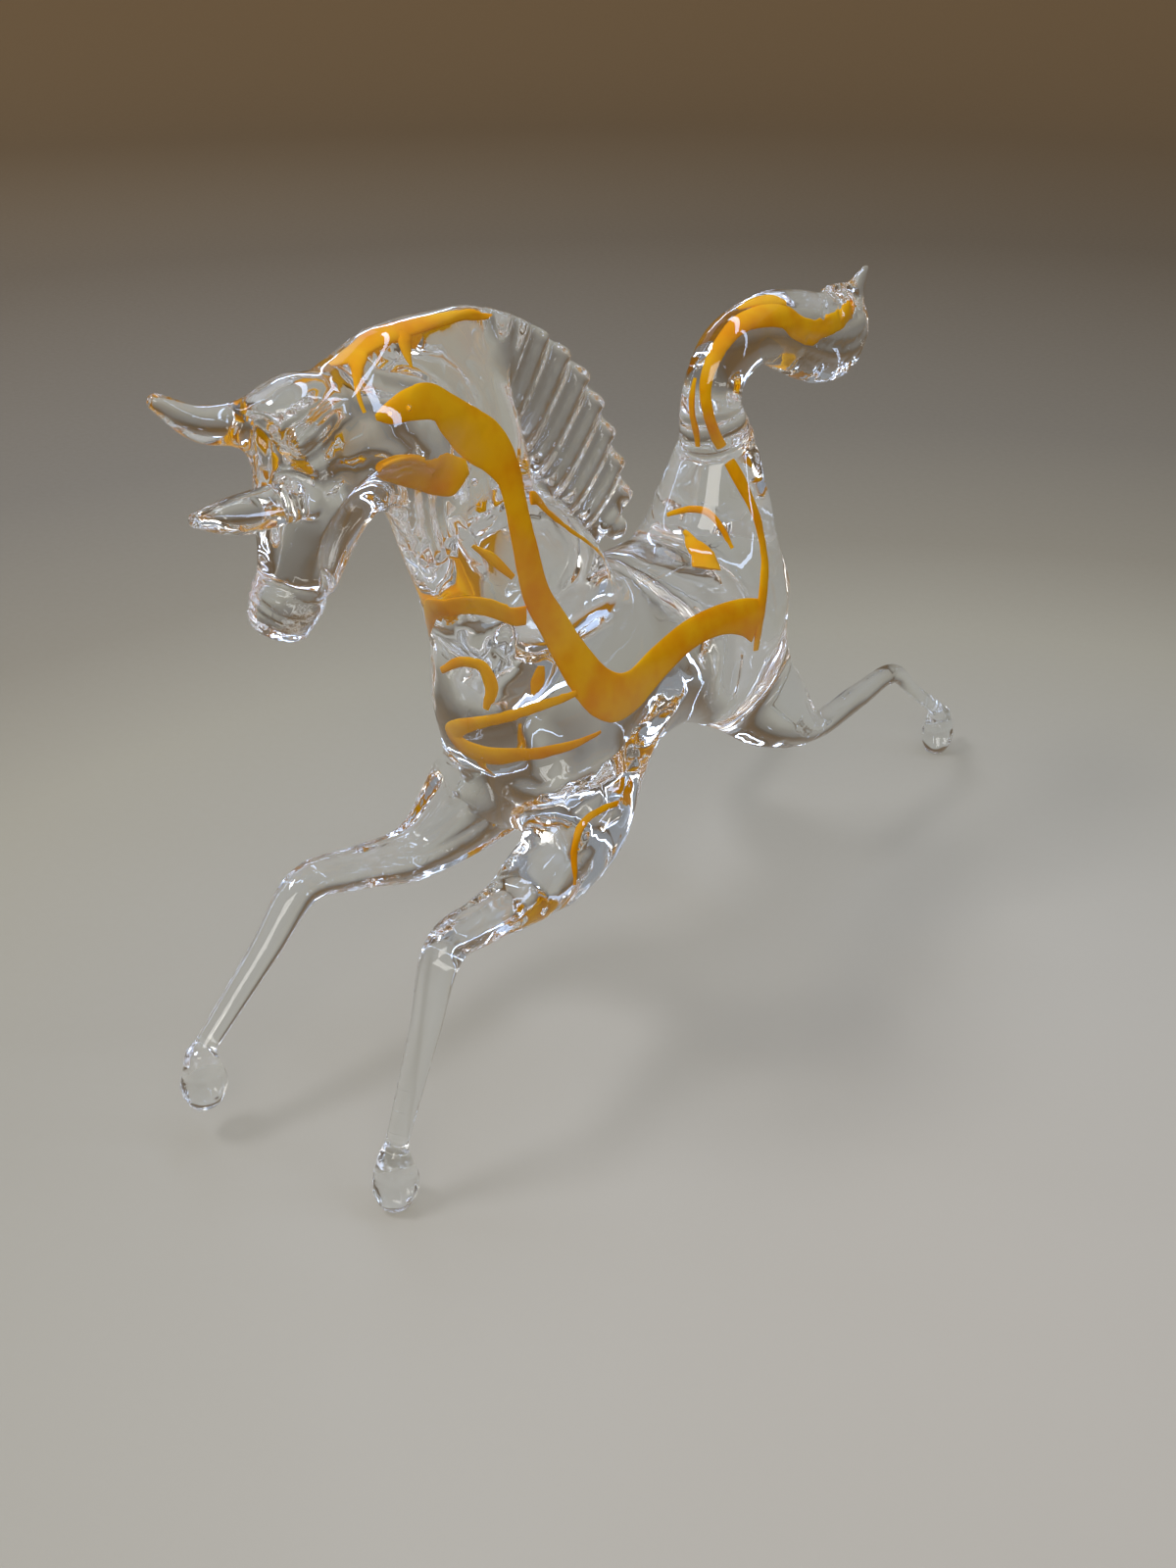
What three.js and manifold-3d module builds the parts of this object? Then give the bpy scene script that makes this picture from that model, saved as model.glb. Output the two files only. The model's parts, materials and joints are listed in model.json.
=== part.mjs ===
// Galloping horse figurine in clear hot-worked glass with amber glass ribbons.
// Millimetres. The horse faces -Y, its left side is +X, the table is Z = 0.
import * as THREE from 'three';
import Module from 'manifold-3d';

const wasm = await Module();
wasm.setup();

// Seams
const SEAM = 0.3;

// Trunk: barrel axis above the table, rump centre to chest centre, half sizes
const BARREL_HEIGHT = 61;
const BARREL_REACH = 51;
const BODY_LEAN = 2;
const BARREL_HALF_WIDTH = 15.5;
const BARREL_HALF_DEPTH = 16;
const CHEST_HALF_WIDTH = 15;
const CHEST_HALF_DEPTH = 21;
const RUMP_HALF_WIDTH = 15.5;
const RUMP_HALF_DEPTH = 18;
const RUMP_ROUND = 11;
const CHEST_ROUND = 6.5;
const CHEST_SAG = 5;

// Neck: poll above and ahead of the chest centre, half sizes at base, crest and top
const NECK_RISE = 53;
const NECK_REACH = 38;
const NECK_BASE_HALF_WIDTH = 12.5;
const NECK_BASE_HALF_DEPTH = 16.2;
const CREST_HALF_WIDTH = 7;
const CREST_HALF_DEPTH = 15.6;
const POLL_HALF_WIDTH = 8;
const POLL_HALF_DEPTH = 10;

// Head: drop and reach from poll to nose band, sideways turn, half sizes
const HEAD_DROP = 19;
const HEAD_REACH = 4.4;
const HEAD_TURN = 4.5;
const HEAD_HALF_WIDTH = 6.5;
const HEAD_HALF_DEPTH = 8;
const NOSE_HALF_WIDTH = 4.5;
const NOSE_HALF_DEPTH = 5;
const MUZZLE_LENGTH = 7.2;
const MUZZLE_SEAT = 0.6;
const FOREHEAD_RISE = 8;
const FOREHEAD_REACH = 5;
const FOREHEAD_TURN = 1.5;
const CHEEK_HALF_WIDTH = 5;
const CHEEK_HALF_DEPTH = 6;
// Cheek and corner of the jaw from the poll, as [x, y, z]
const CHEEK = [0.5, 1, -4];
const JAW = [1.2, 4.6, -9.3];

// Ears: root, middle and tip from the poll, as [x, y, z], and half sizes
const EAR_RIGHT = { root: [-6, -5, 4.6], middle: [-8, -14, 5.8], tip: [-9.8, -19.2, 9.6] };
const EAR_LEFT = { root: [3, -11, -3], middle: [3, -19.4, -2.4], tip: [3.1, -25, -1.2] };
const EAR_HALF_WIDTH = 2.9;
const EAR_HALF_THICKNESS = 2;

// Mane comb: half thickness, number of pinched ribs and their step.
// Foot and edge of the comb as shares of the neck's reach and rise from the chest centre.
const MANE_HALF_THICKNESS = 2.2;
const MANE_RIBS = 9;
const MANE_RIB_STEP = 0.6;
const MANE_FOOT = [[0.18, 1.13], [0.1, 0.94], [0.05, 0.76], [-0.1, 0.6], [-0.32, 0.43]];
const MANE_EDGE = [[0.11, 1.23], [-0.11, 1.15], [-0.37, 1], [-0.54, 0.8], [-0.67, 0.58]];

// Tail: pinch ring above the barrel axis, hook above the ring, hook length behind it
const TAIL_RING_RISE = 31.5;
const TAIL_RING_SETBACK = 2.5;
const TAIL_RING_RADIUS = 6.9;
const TAIL_ROOT_RISE = 4;
const TAIL_HOOK_RISE = 18;
const TAIL_HOOK_REACH = 50;
const TAIL_HALF_WIDTH = 5;
const TAIL_PLUME_HALF_DEPTH = 8;
const TAIL_TIP_HALF_WIDTH = 2.2;
const TAIL_TIP_HALF_DEPTH = 5;
const PLUME_SEAT = 1;

// Legs: hoof to the side of the midline and ahead of the chest or behind the rump, hoof lift,
// bend above the table and its set-back from the hoof
const STANCE = {
  fore_left: { track: 17.8, step: -50.5, lift: 0, bendHeight: 41, bendSetback: 13.5 },
  fore_right: { track: -17.8, step: -57.5, lift: 6, bendHeight: 35.5, bendSetback: 25 },
  hind_left: { track: 12.3, step: 82.5, lift: 0, bendHeight: 29.2, bendSetback: -25 },
  hind_right: { track: -26, step: 66, lift: 0, bendHeight: 25, bendSetback: -19 },
};
// Root and upper leg from the chest or rump centre, elbow or stifle from the bend, as [x, y, z]
const LIMB = {
  fore_left: { root: [1, 6, -4], upper: [11, 2, -16], elbow: [-1.5, 20, -1] },
  fore_right: { root: [-1, 6, -4], upper: [-12, 3, -20], elbow: [2.6, 24, -4] },
  hind_left: { root: [2, -3, -4], upper: [9.5, 9, -20], elbow: [0.3, -33, 1] },
  hind_right: { root: [-2, -3, -4], upper: [-13, 9, -21], elbow: [5, -25, 4] },
};
const SHOULDER_HALF_WIDTH = 8;
const SHOULDER_HALF_DEPTH = 14;
const ARM_HALF_WIDTH = 8.5;
const ARM_HALF_DEPTH = 11;
const HIP_HALF_WIDTH = 8;
const HIP_HALF_DEPTH = 12;
const THIGH_HALF_WIDTH = 6.5;
const THIGH_HALF_DEPTH = 8.5;
const KNEE_RADIUS = 3.3;
const ELBOW_RADIUS = 5.4;
const HOCK_RADIUS = 2.2;
const STIFLE_RADIUS = 3.2;
const FETLOCK_RADIUS = 1.9;
const HOOF_HEIGHT = 11;
const HOOF_HALF_WIDTH = 3.5;
const HOOF_HALF_LENGTH = 4;
const SOLE_HALF_LENGTH = 2.6;
const HOOF_SEAT = 1;
// Web of glass pulled from the left flank down to the elbow, as [x, y, z] from the chest centre
const ARM_WEB = [[13, 17, -3], [13.5, 10, -9], [14, 2, -16], [14, -10, -23]];
const ARM_WEB_RADIUS = 3.2;

// Amber ribbons: thickness laid into the skin, half widths
const RIBBON_DEPTH = 2;
const RIBBON_HALF_WIDTH = 3.2;
const STRIP_HALF_WIDTH = 1.6;

const SIDES = 16;
const LEFT = new THREE.Vector3(1, 0, 0);
// Power of the oval section: 2 is an ellipse, more has flatter sides
const PADDLED = 2.3;

function at(x, y, z) {
  return new THREE.Vector3(x, y, z);
}

// Section of a drawn part: centre, half width across, half depth in the bending plane
function section(centre, halfWidth, halfDepth) {
  return { centre, halfWidth, halfDepth };
}

function solidOf(positions, triangles) {
  const geometry = new THREE.BufferGeometry();
  geometry.setAttribute('position', new THREE.Float32BufferAttribute(positions, 3));
  geometry.setIndex(triangles);
  const mesh = new wasm.Mesh({
    numProp: 3,
    vertProperties: new Float32Array(geometry.attributes.position.array),
    triVerts: new Uint32Array(geometry.index.array),
  });
  return new wasm.Manifold(mesh);
}

// Closed skin over a list of rings with the same number of points
function skin(rings) {
  const sides = rings[0].length;
  const positions = [];
  const triangles = [];
  for (const ring of rings) {
    for (const p of ring) {
      positions.push(p.x, p.y, p.z);
    }
  }
  for (let i = 0; i + 1 < rings.length; i++) {
    for (let k = 0; k < sides; k++) {
      const next = (k + 1) % sides;
      const a = i * sides + k;
      const b = i * sides + next;
      const c = a + sides;
      const d = b + sides;
      triangles.push(a, b, c, b, d, c);
    }
  }
  const first = rings[0];
  const last = rings[rings.length - 1];
  const ends = [first, last].map((ring) => {
    const middle = ring.reduce((sum, p) => sum.add(p), at(0, 0, 0)).divideScalar(sides);
    positions.push(middle.x, middle.y, middle.z);
    return positions.length / 3 - 1;
  });
  const start = (rings.length - 1) * sides;
  for (let k = 0; k < sides; k++) {
    const next = (k + 1) % sides;
    triangles.push(ends[0], next, k);
    triangles.push(ends[1], start + k, start + next);
  }
  return solidOf(positions, triangles);
}

// Drawn part: sections strung on a smooth curve, with a dome of the given length at each end
function drawn(sections, { dome = [0, 0], steps = 3, sides = SIDES, across = LEFT, power = 2 } = {}) {
  const oval = (angle) => {
    const c = Math.cos(angle);
    const s = Math.sin(angle);
    const r = (Math.abs(c) ** power + Math.abs(s) ** power) ** (-1 / power);
    return [c * r, s * r];
  };
  const spine = new THREE.CatmullRomCurve3(sections.map((s) => s.centre), false, 'centripetal');
  const sizes = new THREE.CatmullRomCurve3(
    sections.map((s) => at(s.halfWidth, s.halfDepth, 0)), false, 'catmullrom', 0.5);
  const frame = (t) => {
    const along = spine.getTangent(t);
    const side = across.clone().addScaledVector(along, -across.dot(along)).normalize();
    const up = along.clone().cross(side);
    return { centre: spine.getPoint(t), along, side, up, size: sizes.getPoint(t) };
  };
  const ring = (f, scale, shift, grow) => {
    const points = [];
    for (let k = 0; k < sides; k++) {
      const [c, s] = oval((2 * Math.PI * k) / sides);
      const p = f.centre.clone();
      p.addScaledVector(f.side, (f.size.x + grow) * scale * c);
      p.addScaledVector(f.up, (f.size.y + grow) * scale * s);
      p.addScaledVector(f.along, shift);
      points.push(p);
    }
    return points;
  };
  const domed = (f, length, sign, grow) => {
    if (length === 0) {
      return [ring(f, 1, sign * grow, grow)];
    }
    return [0, 35, 65].map((degrees) => {
      const angle = THREE.MathUtils.degToRad(degrees);
      return ring(f, Math.cos(angle), sign * (length + grow) * Math.sin(angle), grow);
    });
  };
  const solid = (grow = 0) => {
    const count = (sections.length - 1) * steps;
    const rings = domed(frame(0), dome[0], -1, grow).reverse();
    for (let i = 1; i < count; i++) {
      rings.push(ring(frame(i / count), 1, 0, grow));
    }
    rings.push(...domed(frame(1), dome[1], 1, grow));
    return skin(rings);
  };
  const surface = (t, degrees) => {
    const f = frame(t);
    const [c, s] = oval(THREE.MathUtils.degToRad(degrees));
    const offset = f.side.clone().multiplyScalar(f.size.x * c);
    offset.addScaledVector(f.up, f.size.y * s);
    const normal = f.side.clone().multiplyScalar(Math.sign(c) * Math.abs(c) ** (power - 1) / f.size.x);
    normal.addScaledVector(f.up, Math.sign(s) * Math.abs(s) ** (power - 1) / f.size.y).normalize();
    return { point: f.centre.clone().add(offset), normal };
  };
  return { solid, surface, frame };
}

// First part with others melted onto it
function melted(first, ...others) {
  const solid = (grow = 0) => others.reduce((whole, part) => whole.add(part.solid(grow)), first.solid(grow));
  return { ...first, solid };
}

// Band laid along a part's skin: path of [place along the part, angle round it, half width]
function band(part, path, depth, grow = 0) {
  const samples = path.map(([t, degrees, half]) => ({ ...part.surface(t, degrees), half }));
  const route = new THREE.CatmullRomCurve3(samples.map((s) => s.point), false, 'centripetal');
  const lifts = new THREE.CatmullRomCurve3(samples.map((s) => s.normal), false, 'centripetal');
  const halves = new THREE.CatmullRomCurve3(samples.map((s) => at(s.half, 0, 0)), false, 'catmullrom');
  const count = (path.length - 1) * 2;
  const rings = [];
  for (let i = 0; i <= count; i++) {
    const t = i / count;
    const along = route.getTangent(t);
    const out = lifts.getPoint(t).normalize();
    const across = out.clone().cross(along).normalize();
    const half = halves.getPoint(t).x + grow;
    const outline = [[-1, 2], [-1, 0], [-0.7, -1], [0.7, -1], [1, 0], [1, 2]];
    const ring = outline.map(([w, d]) => {
      const p = route.getPoint(t).addScaledVector(across, w * half);
      return p.addScaledVector(out, d > 0 ? d : d * (depth + grow));
    });
    const end = i === 0 ? -grow : i === count ? grow : 0;
    rings.push(ring.map((p) => p.addScaledVector(along, end)));
  }
  return skin(rings);
}

// Fire-polished glass, clear and amber
const glass = (name, color, opacity) => new THREE.MeshStandardMaterial({
  name, color, opacity, transparent: true, roughness: 0.03, metalness: 0,
});
const clearGlass = () => glass('clear_glass', '#eef2f2', 0.35);
const amberGlass = () => glass('amber_glass', '#d9950f', 0.9);

const horse = new THREE.Group();
horse.name = 'glass_horse';

function place(name, solid, material) {
  const { vertProperties, triVerts } = solid.getMesh();
  const geometry = new THREE.BufferGeometry();
  geometry.setAttribute('position', new THREE.Float32BufferAttribute(Array.from(vertProperties), 3));
  geometry.setIndex(Array.from(triVerts));
  const mesh = new THREE.Mesh(geometry, material);
  mesh.name = name;
  horse.add(mesh);
}

// Trunk
const rump = at(BODY_LEAN, BARREL_REACH / 2, BARREL_HEIGHT);
const chest = at(BODY_LEAN, -BARREL_REACH / 2, BARREL_HEIGHT);
const from = (base, x, y, z) => base.clone().add(at(x, y, z));
const between = (a, b, k) => a.clone().lerp(b, k);

const trunk = drawn([
  section(from(rump, 0, RUMP_ROUND, -1.5), RUMP_HALF_WIDTH * 0.7, RUMP_HALF_DEPTH * 0.75),
  section(from(rump, 0, 0, -1.5), RUMP_HALF_WIDTH, RUMP_HALF_DEPTH),
  section(from(between(rump, chest, 0.35), 0, 0, 1), BARREL_HALF_WIDTH, BARREL_HALF_DEPTH),
  section(from(between(rump, chest, 0.7), 0, 0, 0.5), BARREL_HALF_WIDTH, BARREL_HALF_DEPTH + 1),
  section(from(chest, 0, 0, -CHEST_SAG * 0.6), CHEST_HALF_WIDTH, CHEST_HALF_DEPTH),
  section(from(chest, 0, -CHEST_ROUND, -CHEST_SAG), CHEST_HALF_WIDTH * 0.78, CHEST_HALF_DEPTH * 0.85),
  section(from(chest, 0, -CHEST_ROUND - 3, -CHEST_SAG - 1), CHEST_HALF_WIDTH * 0.52, CHEST_HALF_DEPTH * 0.57),
], { dome: [5, 1.2], power: PADDLED });

// Neck and head
const poll = from(chest, 0, -NECK_REACH, NECK_RISE);
const neckAt = (reach, rise) => from(chest, 0, -NECK_REACH * reach, NECK_RISE * rise);
const neck = drawn([
  section(neckAt(-0.14, 0.04), NECK_BASE_HALF_WIDTH + 0.5, NECK_BASE_HALF_DEPTH - 1),
  section(neckAt(0, 0.34), NECK_BASE_HALF_WIDTH, NECK_BASE_HALF_DEPTH),
  section(neckAt(0.28, 0.65), NECK_BASE_HALF_WIDTH - 2.3, NECK_BASE_HALF_DEPTH - 4.8),
  section(neckAt(0.46, 0.98), CREST_HALF_WIDTH, CREST_HALF_DEPTH),
  section(neckAt(0.72, 1.06), POLL_HALF_WIDTH + 0.2, POLL_HALF_DEPTH + 2),
  section(poll, POLL_HALF_WIDTH, POLL_HALF_DEPTH),
], { dome: [4, 5], power: PADDLED });

const nose = from(poll, -HEAD_TURN, -HEAD_REACH, -HEAD_DROP);
const skull = drawn([
  section(from(poll, -FOREHEAD_TURN, -FOREHEAD_REACH, FOREHEAD_RISE),
    HEAD_HALF_WIDTH - 1.5, HEAD_HALF_DEPTH - 2),
  section(from(between(poll, nose, 0.15), 0, -FOREHEAD_REACH * 0.4, 0), HEAD_HALF_WIDTH, HEAD_HALF_DEPTH),
  section(between(poll, nose, 0.6), HEAD_HALF_WIDTH - 0.6, HEAD_HALF_DEPTH - 1),
  section(nose, NOSE_HALF_WIDTH, NOSE_HALF_DEPTH),
], { dome: [3, 0], power: PADDLED });
const cheek = drawn([
  section(from(poll, ...CHEEK), CHEEK_HALF_WIDTH, CHEEK_HALF_DEPTH),
  section(from(poll, ...JAW), CHEEK_HALF_WIDTH - 1, CHEEK_HALF_DEPTH - 1.4),
], { dome: [3, 2.5], steps: 2, sides: 12 });
const head = melted(skull, cheek);
const noseFrame = head.frame(1);
const muzzleTop = noseFrame.centre.clone().addScaledVector(noseFrame.along, -MUZZLE_SEAT);
const muzzleEnd = muzzleTop.clone().addScaledVector(noseFrame.along, MUZZLE_LENGTH);
const muzzle = drawn([
  section(muzzleTop, NOSE_HALF_WIDTH + 0.3, NOSE_HALF_DEPTH + 0.4),
  section(between(muzzleTop, muzzleEnd, 0.5), NOSE_HALF_WIDTH + 0.3, NOSE_HALF_DEPTH + 0.2),
  section(between(muzzleTop, muzzleEnd, 0.85), NOSE_HALF_WIDTH - 0.3, NOSE_HALF_DEPTH - 0.6),
], { dome: [0, MUZZLE_LENGTH * 0.15], power: PADDLED });

function ear(places) {
  const root = from(poll, ...places.root);
  const middle = from(poll, ...places.middle);
  const tip = from(poll, ...places.tip);
  return drawn([
    section(between(root, middle, -0.4), EAR_HALF_WIDTH, EAR_HALF_THICKNESS),
    section(root, EAR_HALF_WIDTH, EAR_HALF_THICKNESS * 1.1),
    section(middle, EAR_HALF_WIDTH * 0.9, EAR_HALF_THICKNESS),
    section(tip, EAR_HALF_WIDTH * 0.4, EAR_HALF_THICKNESS * 0.6),
  ], { dome: [1, EAR_HALF_WIDTH * 0.4], steps: 2, sides: 10, across: at(0.7, 0, -0.7) });
}
const earRight = ear(EAR_RIGHT);
const earLeft = ear(EAR_LEFT);

// Mane comb: one section on each rib and one in each valley between two ribs, and a knob at its end
const neckCurve = (places) => new THREE.CatmullRomCurve3(places.map((p) => neckAt(...p)), false, 'centripetal');
const maneFoot = neckCurve(MANE_FOOT);
const maneEdge = neckCurve(MANE_EDGE);
const maneSections = [];
for (let i = 0; i <= 2 * MANE_RIBS; i++) {
  const ridge = MANE_RIB_STEP * (i % 2);
  const foot = maneFoot.getPoint(i / (2 * MANE_RIBS));
  const edge = maneEdge.getPoint(i / (2 * MANE_RIBS));
  const halfHeight = foot.distanceTo(edge) / 2;
  maneSections.push(section(between(foot, edge, 0.5), MANE_HALF_THICKNESS - 0.4 + ridge, halfHeight + ridge));
}
const comb = drawn(maneSections, { dome: [1, 1], steps: 1, sides: 10 });
const maneKnob = drawn([
  section(neckAt(-0.53, 0.52), MANE_HALF_THICKNESS, MANE_HALF_THICKNESS + 0.2),
  section(neckAt(-0.64, 0.45), MANE_HALF_THICKNESS - 0.2, MANE_HALF_THICKNESS),
], { dome: [1.8, 1.8], steps: 2, sides: 10 });
const mane = melted(comb, maneKnob);

// Tail
const tailRing = from(rump, 0, TAIL_RING_SETBACK, TAIL_RING_RISE);
const tailRoot = drawn([
  section(from(rump, 0, 1, TAIL_ROOT_RISE), RUMP_HALF_WIDTH * 0.82, RUMP_HALF_WIDTH * 0.9),
  section(between(rump, tailRing, 0.6), RUMP_HALF_WIDTH * 0.68, RUMP_HALF_WIDTH * 0.72),
  section(tailRing, TAIL_RING_RADIUS, TAIL_RING_RADIUS),
], { dome: [2, 0] });
const ringFrame = tailRoot.frame(1);
const plumeFoot = tailRing.clone().addScaledVector(ringFrame.along, -PLUME_SEAT);
const hook = (reach, rise) => from(plumeFoot, 0, TAIL_HOOK_REACH * reach, TAIL_HOOK_RISE * rise);
const plume = drawn([
  section(plumeFoot, TAIL_RING_RADIUS, TAIL_RING_RADIUS),
  section(hook(-0.05, 0.5), TAIL_HALF_WIDTH, TAIL_RING_RADIUS - 1.3),
  section(hook(0.03, 0.86), TAIL_HALF_WIDTH, TAIL_RING_RADIUS - 1.1),
  section(hook(0.26, 1), TAIL_HALF_WIDTH, TAIL_RING_RADIUS - 0.8),
  section(hook(0.44, 0.86), TAIL_HALF_WIDTH, TAIL_PLUME_HALF_DEPTH - 0.6),
  section(hook(0.65, 0.67), TAIL_HALF_WIDTH - 0.4, TAIL_PLUME_HALF_DEPTH + 0.2),
  section(hook(0.82, 0.63), TAIL_HALF_WIDTH - 1.4, TAIL_PLUME_HALF_DEPTH),
  section(hook(0.92, 0.7), TAIL_HALF_WIDTH - 2.6, TAIL_PLUME_HALF_DEPTH - 2.6),
], { dome: [0, 1.5] });
const tailTip = drawn([
  section(hook(0.7, 0.92), TAIL_TIP_HALF_WIDTH, TAIL_TIP_HALF_DEPTH),
  section(hook(0.86, 1), TAIL_TIP_HALF_WIDTH - 0.6, TAIL_TIP_HALF_DEPTH - 1.8),
  section(hook(0.96, 1.25), 0.6, 0.7),
], { dome: [1, 0.6], steps: 2, sides: 10 });
const tailPlume = melted(plume, tailTip);

// Legs: root inside the trunk, upper leg, elbow or stifle, knee or hock, fetlock
function leg(root, upper, elbow, bend, fetlock, half) {
  return drawn([
    section(root, half.root[0], half.root[1]),
    section(upper, half.upper[0], half.upper[1]),
    section(elbow, half.elbow, half.elbow),
    section(between(elbow, bend, 0.55), half.bend + 0.5, half.bend + 0.5),
    section(bend, half.bend, half.bend),
    section(between(bend, fetlock, 0.4), half.bend * 0.75, half.bend * 0.78),
    section(fetlock, FETLOCK_RADIUS, FETLOCK_RADIUS),
  ], { dome: [2, 0], steps: 3, sides: 12 });
}

function hoof(sole) {
  return drawn([
    section(from(sole, 0, 0, HOOF_HEIGHT), FETLOCK_RADIUS + 0.2, FETLOCK_RADIUS + 0.2),
    section(from(sole, 0, 0, HOOF_HEIGHT * 0.7), HOOF_HALF_WIDTH * 0.85, HOOF_HALF_LENGTH * 0.8),
    section(from(sole, 0, 0, HOOF_HEIGHT * 0.35), HOOF_HALF_WIDTH, HOOF_HALF_LENGTH),
    section(sole, SOLE_HALF_LENGTH * 0.85, SOLE_HALF_LENGTH),
  ], { steps: 2, sides: 12 });
}

const foreHalf = {
  root: [SHOULDER_HALF_WIDTH, SHOULDER_HALF_DEPTH],
  upper: [ARM_HALF_WIDTH, ARM_HALF_DEPTH],
  elbow: ELBOW_RADIUS,
  bend: KNEE_RADIUS,
};
const hindHalf = {
  root: [HIP_HALF_WIDTH, HIP_HALF_DEPTH],
  upper: [THIGH_HALF_WIDTH, THIGH_HALF_DEPTH],
  elbow: STIFLE_RADIUS,
  bend: HOCK_RADIUS,
};
const soles = {};
const legs = {};
for (const [corner, stance] of Object.entries(STANCE)) {
  const isFore = corner.startsWith('fore');
  const girdle = isFore ? chest : rump;
  const sole = at(stance.track, girdle.y + stance.step, stance.lift);
  const bend = from(sole, 0, stance.bendSetback, stance.bendHeight - stance.lift);
  const fetlock = from(sole, 0, 0, HOOF_HEIGHT - HOOF_SEAT);
  const { root, upper, elbow } = LIMB[corner];
  soles[corner] = sole;
  legs[corner] = leg(from(girdle, ...root), from(girdle, ...upper), from(bend, ...elbow),
    bend, fetlock, isFore ? foreHalf : hindHalf);
}

const armWeb = drawn(
  ARM_WEB.map((place) => section(from(chest, ...place), ARM_WEB_RADIUS, ARM_WEB_RADIUS)),
  { dome: [2, 2], sides: 10 });
legs.fore_left = melted(legs.fore_left, armWeb);

// Amber ribbons: places along the part, angle round it and share of the half width
const NECK_PATH = [[0.95, 29, 0.25], [0.893, 24, 0.5], [0.83, 21, 0.7], [0.76, 18, 0.8], [0.695, 8, 1],
  [0.593, 5, 1.15], [0.552, 11, 1.15], [0.503, 16, 1], [0.41, 5, 0.85], [0.35, -8, 0.85], [0.285, -15, 0.95],
  [0.2, -15, 1]];
const FLANK_PATH = [[0.633, 60, 1], [0.62, 35, 1.15], [0.6, 19, 1.3], [0.552, 15, 1.2], [0.482, 19, 1.1],
  [0.398, 24, 0.9], [0.317, 24, 0.9], [0.238, 13, 1.2]];
const CHEST_UPPER_PATH = [[0.318, -37, 1], [0.345, -56, 1], [0.355, -78, 1], [0.348, -101, 1],
  [0.31, -116, 0.7]];
const CHEST_LOWER_PATH = [[0.8, 28, 0.7], [0.88, 32, 0.75], [0.94, 45, 0.8], [0.96, 65, 0.8], [0.965, 90, 0.8],
  [0.96, 115, 0.8], [0.94, 135, 0.7]];
const THROAT_PATH = [[0.97, 0, 0.4], [0.943, -10, 0.7], [0.875, -22, 0.9], [0.8, -28, 0.9], [0.73, -29, 0.85],
  [0.66, -27, 0.6], [0.61, -25, 0.4]];
const CREST_PATH = [[0.9, 108, 0.6], [0.863, 104, 1], [0.8, 96, 1.1], [0.74, 92, 1.1], [0.7, 88, 0.8]];
const RUMP_PATH = [[0.12, 1, 0.7], [0.278, 2, 0.7], [0.463, -2, 0.7], [0.65, -9, 0.75], [0.8, -22, 0.85],
  [0.93, -37, 0.8]];
const TAIL_PATH = [[0.1, -50, 0.6], [0.155, -66, 0.7], [0.193, -72, 0.8], [0.28, -67, 0.9], [0.37, -62, 1.1],
  [0.443, -29, 1.25], [0.485, -5, 1.25], [0.578, -1, 1.2], [0.633, -17, 1.05], [0.72, -31, 1],
  [0.84, -45, 0.7]];
const laidOn = (part, path, half) => ({
  part,
  path: path.map(([t, degrees, share]) => [t, degrees, share * half]),
});
const bands = {
  ribbon_neck_left: laidOn(neck, NECK_PATH, RIBBON_HALF_WIDTH),
  ribbon_chest_upper: laidOn(neck, CHEST_UPPER_PATH, STRIP_HALF_WIDTH),
  ribbon_chest_lower: laidOn(trunk, CHEST_LOWER_PATH, STRIP_HALF_WIDTH),
  ribbon_throat: laidOn(neck, THROAT_PATH, RIBBON_HALF_WIDTH),
  ribbon_crest: laidOn(neck, CREST_PATH, STRIP_HALF_WIDTH),
  ribbon_flank_left: laidOn(trunk, FLANK_PATH, RIBBON_HALF_WIDTH),
  ribbon_rump: laidOn(tailRoot, RUMP_PATH, STRIP_HALF_WIDTH),
  ribbon_tail: laidOn(tailPlume, TAIL_PATH, STRIP_HALF_WIDTH),
};
const grooved = (part) => {
  let solid = part.solid();
  for (const ribbon of Object.values(bands)) {
    if (ribbon.part === part) {
      solid = solid.subtract(band(part, ribbon.path, RIBBON_DEPTH, SEAM));
    }
  }
  return solid;
};
const clearOf = (solid, ...others) => others.reduce((rest, part) => rest.subtract(part.solid(SEAM)), solid);

place('trunk', grooved(trunk), clearGlass());
place('neck', clearOf(grooved(neck), trunk), clearGlass());
place('head', clearOf(head.solid(), neck), clearGlass());
place('muzzle', clearOf(muzzle.solid(), head), clearGlass());
place('ear_right', clearOf(earRight.solid(), head, neck), clearGlass());
place('ear_left', clearOf(earLeft.solid(), head, neck), clearGlass());
place('mane', clearOf(mane.solid(), neck, trunk), clearGlass());
place('tail_root', clearOf(grooved(tailRoot), trunk), clearGlass());
place('tail_plume', clearOf(grooved(tailPlume), tailRoot), clearGlass());
for (const [corner, sole] of Object.entries(soles)) {
  const foot = hoof(sole);
  const [end, side] = corner.split('_');
  place(`${end}leg_${side}`, clearOf(legs[corner].solid(), trunk, neck, foot), clearGlass());
  place(`hoof_${end}_${side}`, foot.solid(), clearGlass());
}
const parentOf = new Map([[neck, [trunk]], [trunk, []], [tailRoot, [trunk]], [tailPlume, [tailRoot]]]);
for (const [name, ribbon] of Object.entries(bands)) {
  const laid = band(ribbon.part, ribbon.path, RIBBON_DEPTH).intersect(ribbon.part.solid());
  place(name, clearOf(laid, ...parentOf.get(ribbon.part)), amberGlass());
}

// Origin under the middle of the object
const box = new THREE.Box3().setFromObject(horse);
const middle = box.getCenter(at(0, 0, 0));
for (const mesh of horse.children) {
  mesh.geometry.translate(-middle.x, -middle.y, -box.min.z);
}

export default horse;
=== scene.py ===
# Galloping horse figurine: clear hot-worked glass with amber ribbons under its skin.
# Shapes are worked out in millimetres and written to the meshes in metres.
import json
import math

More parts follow.
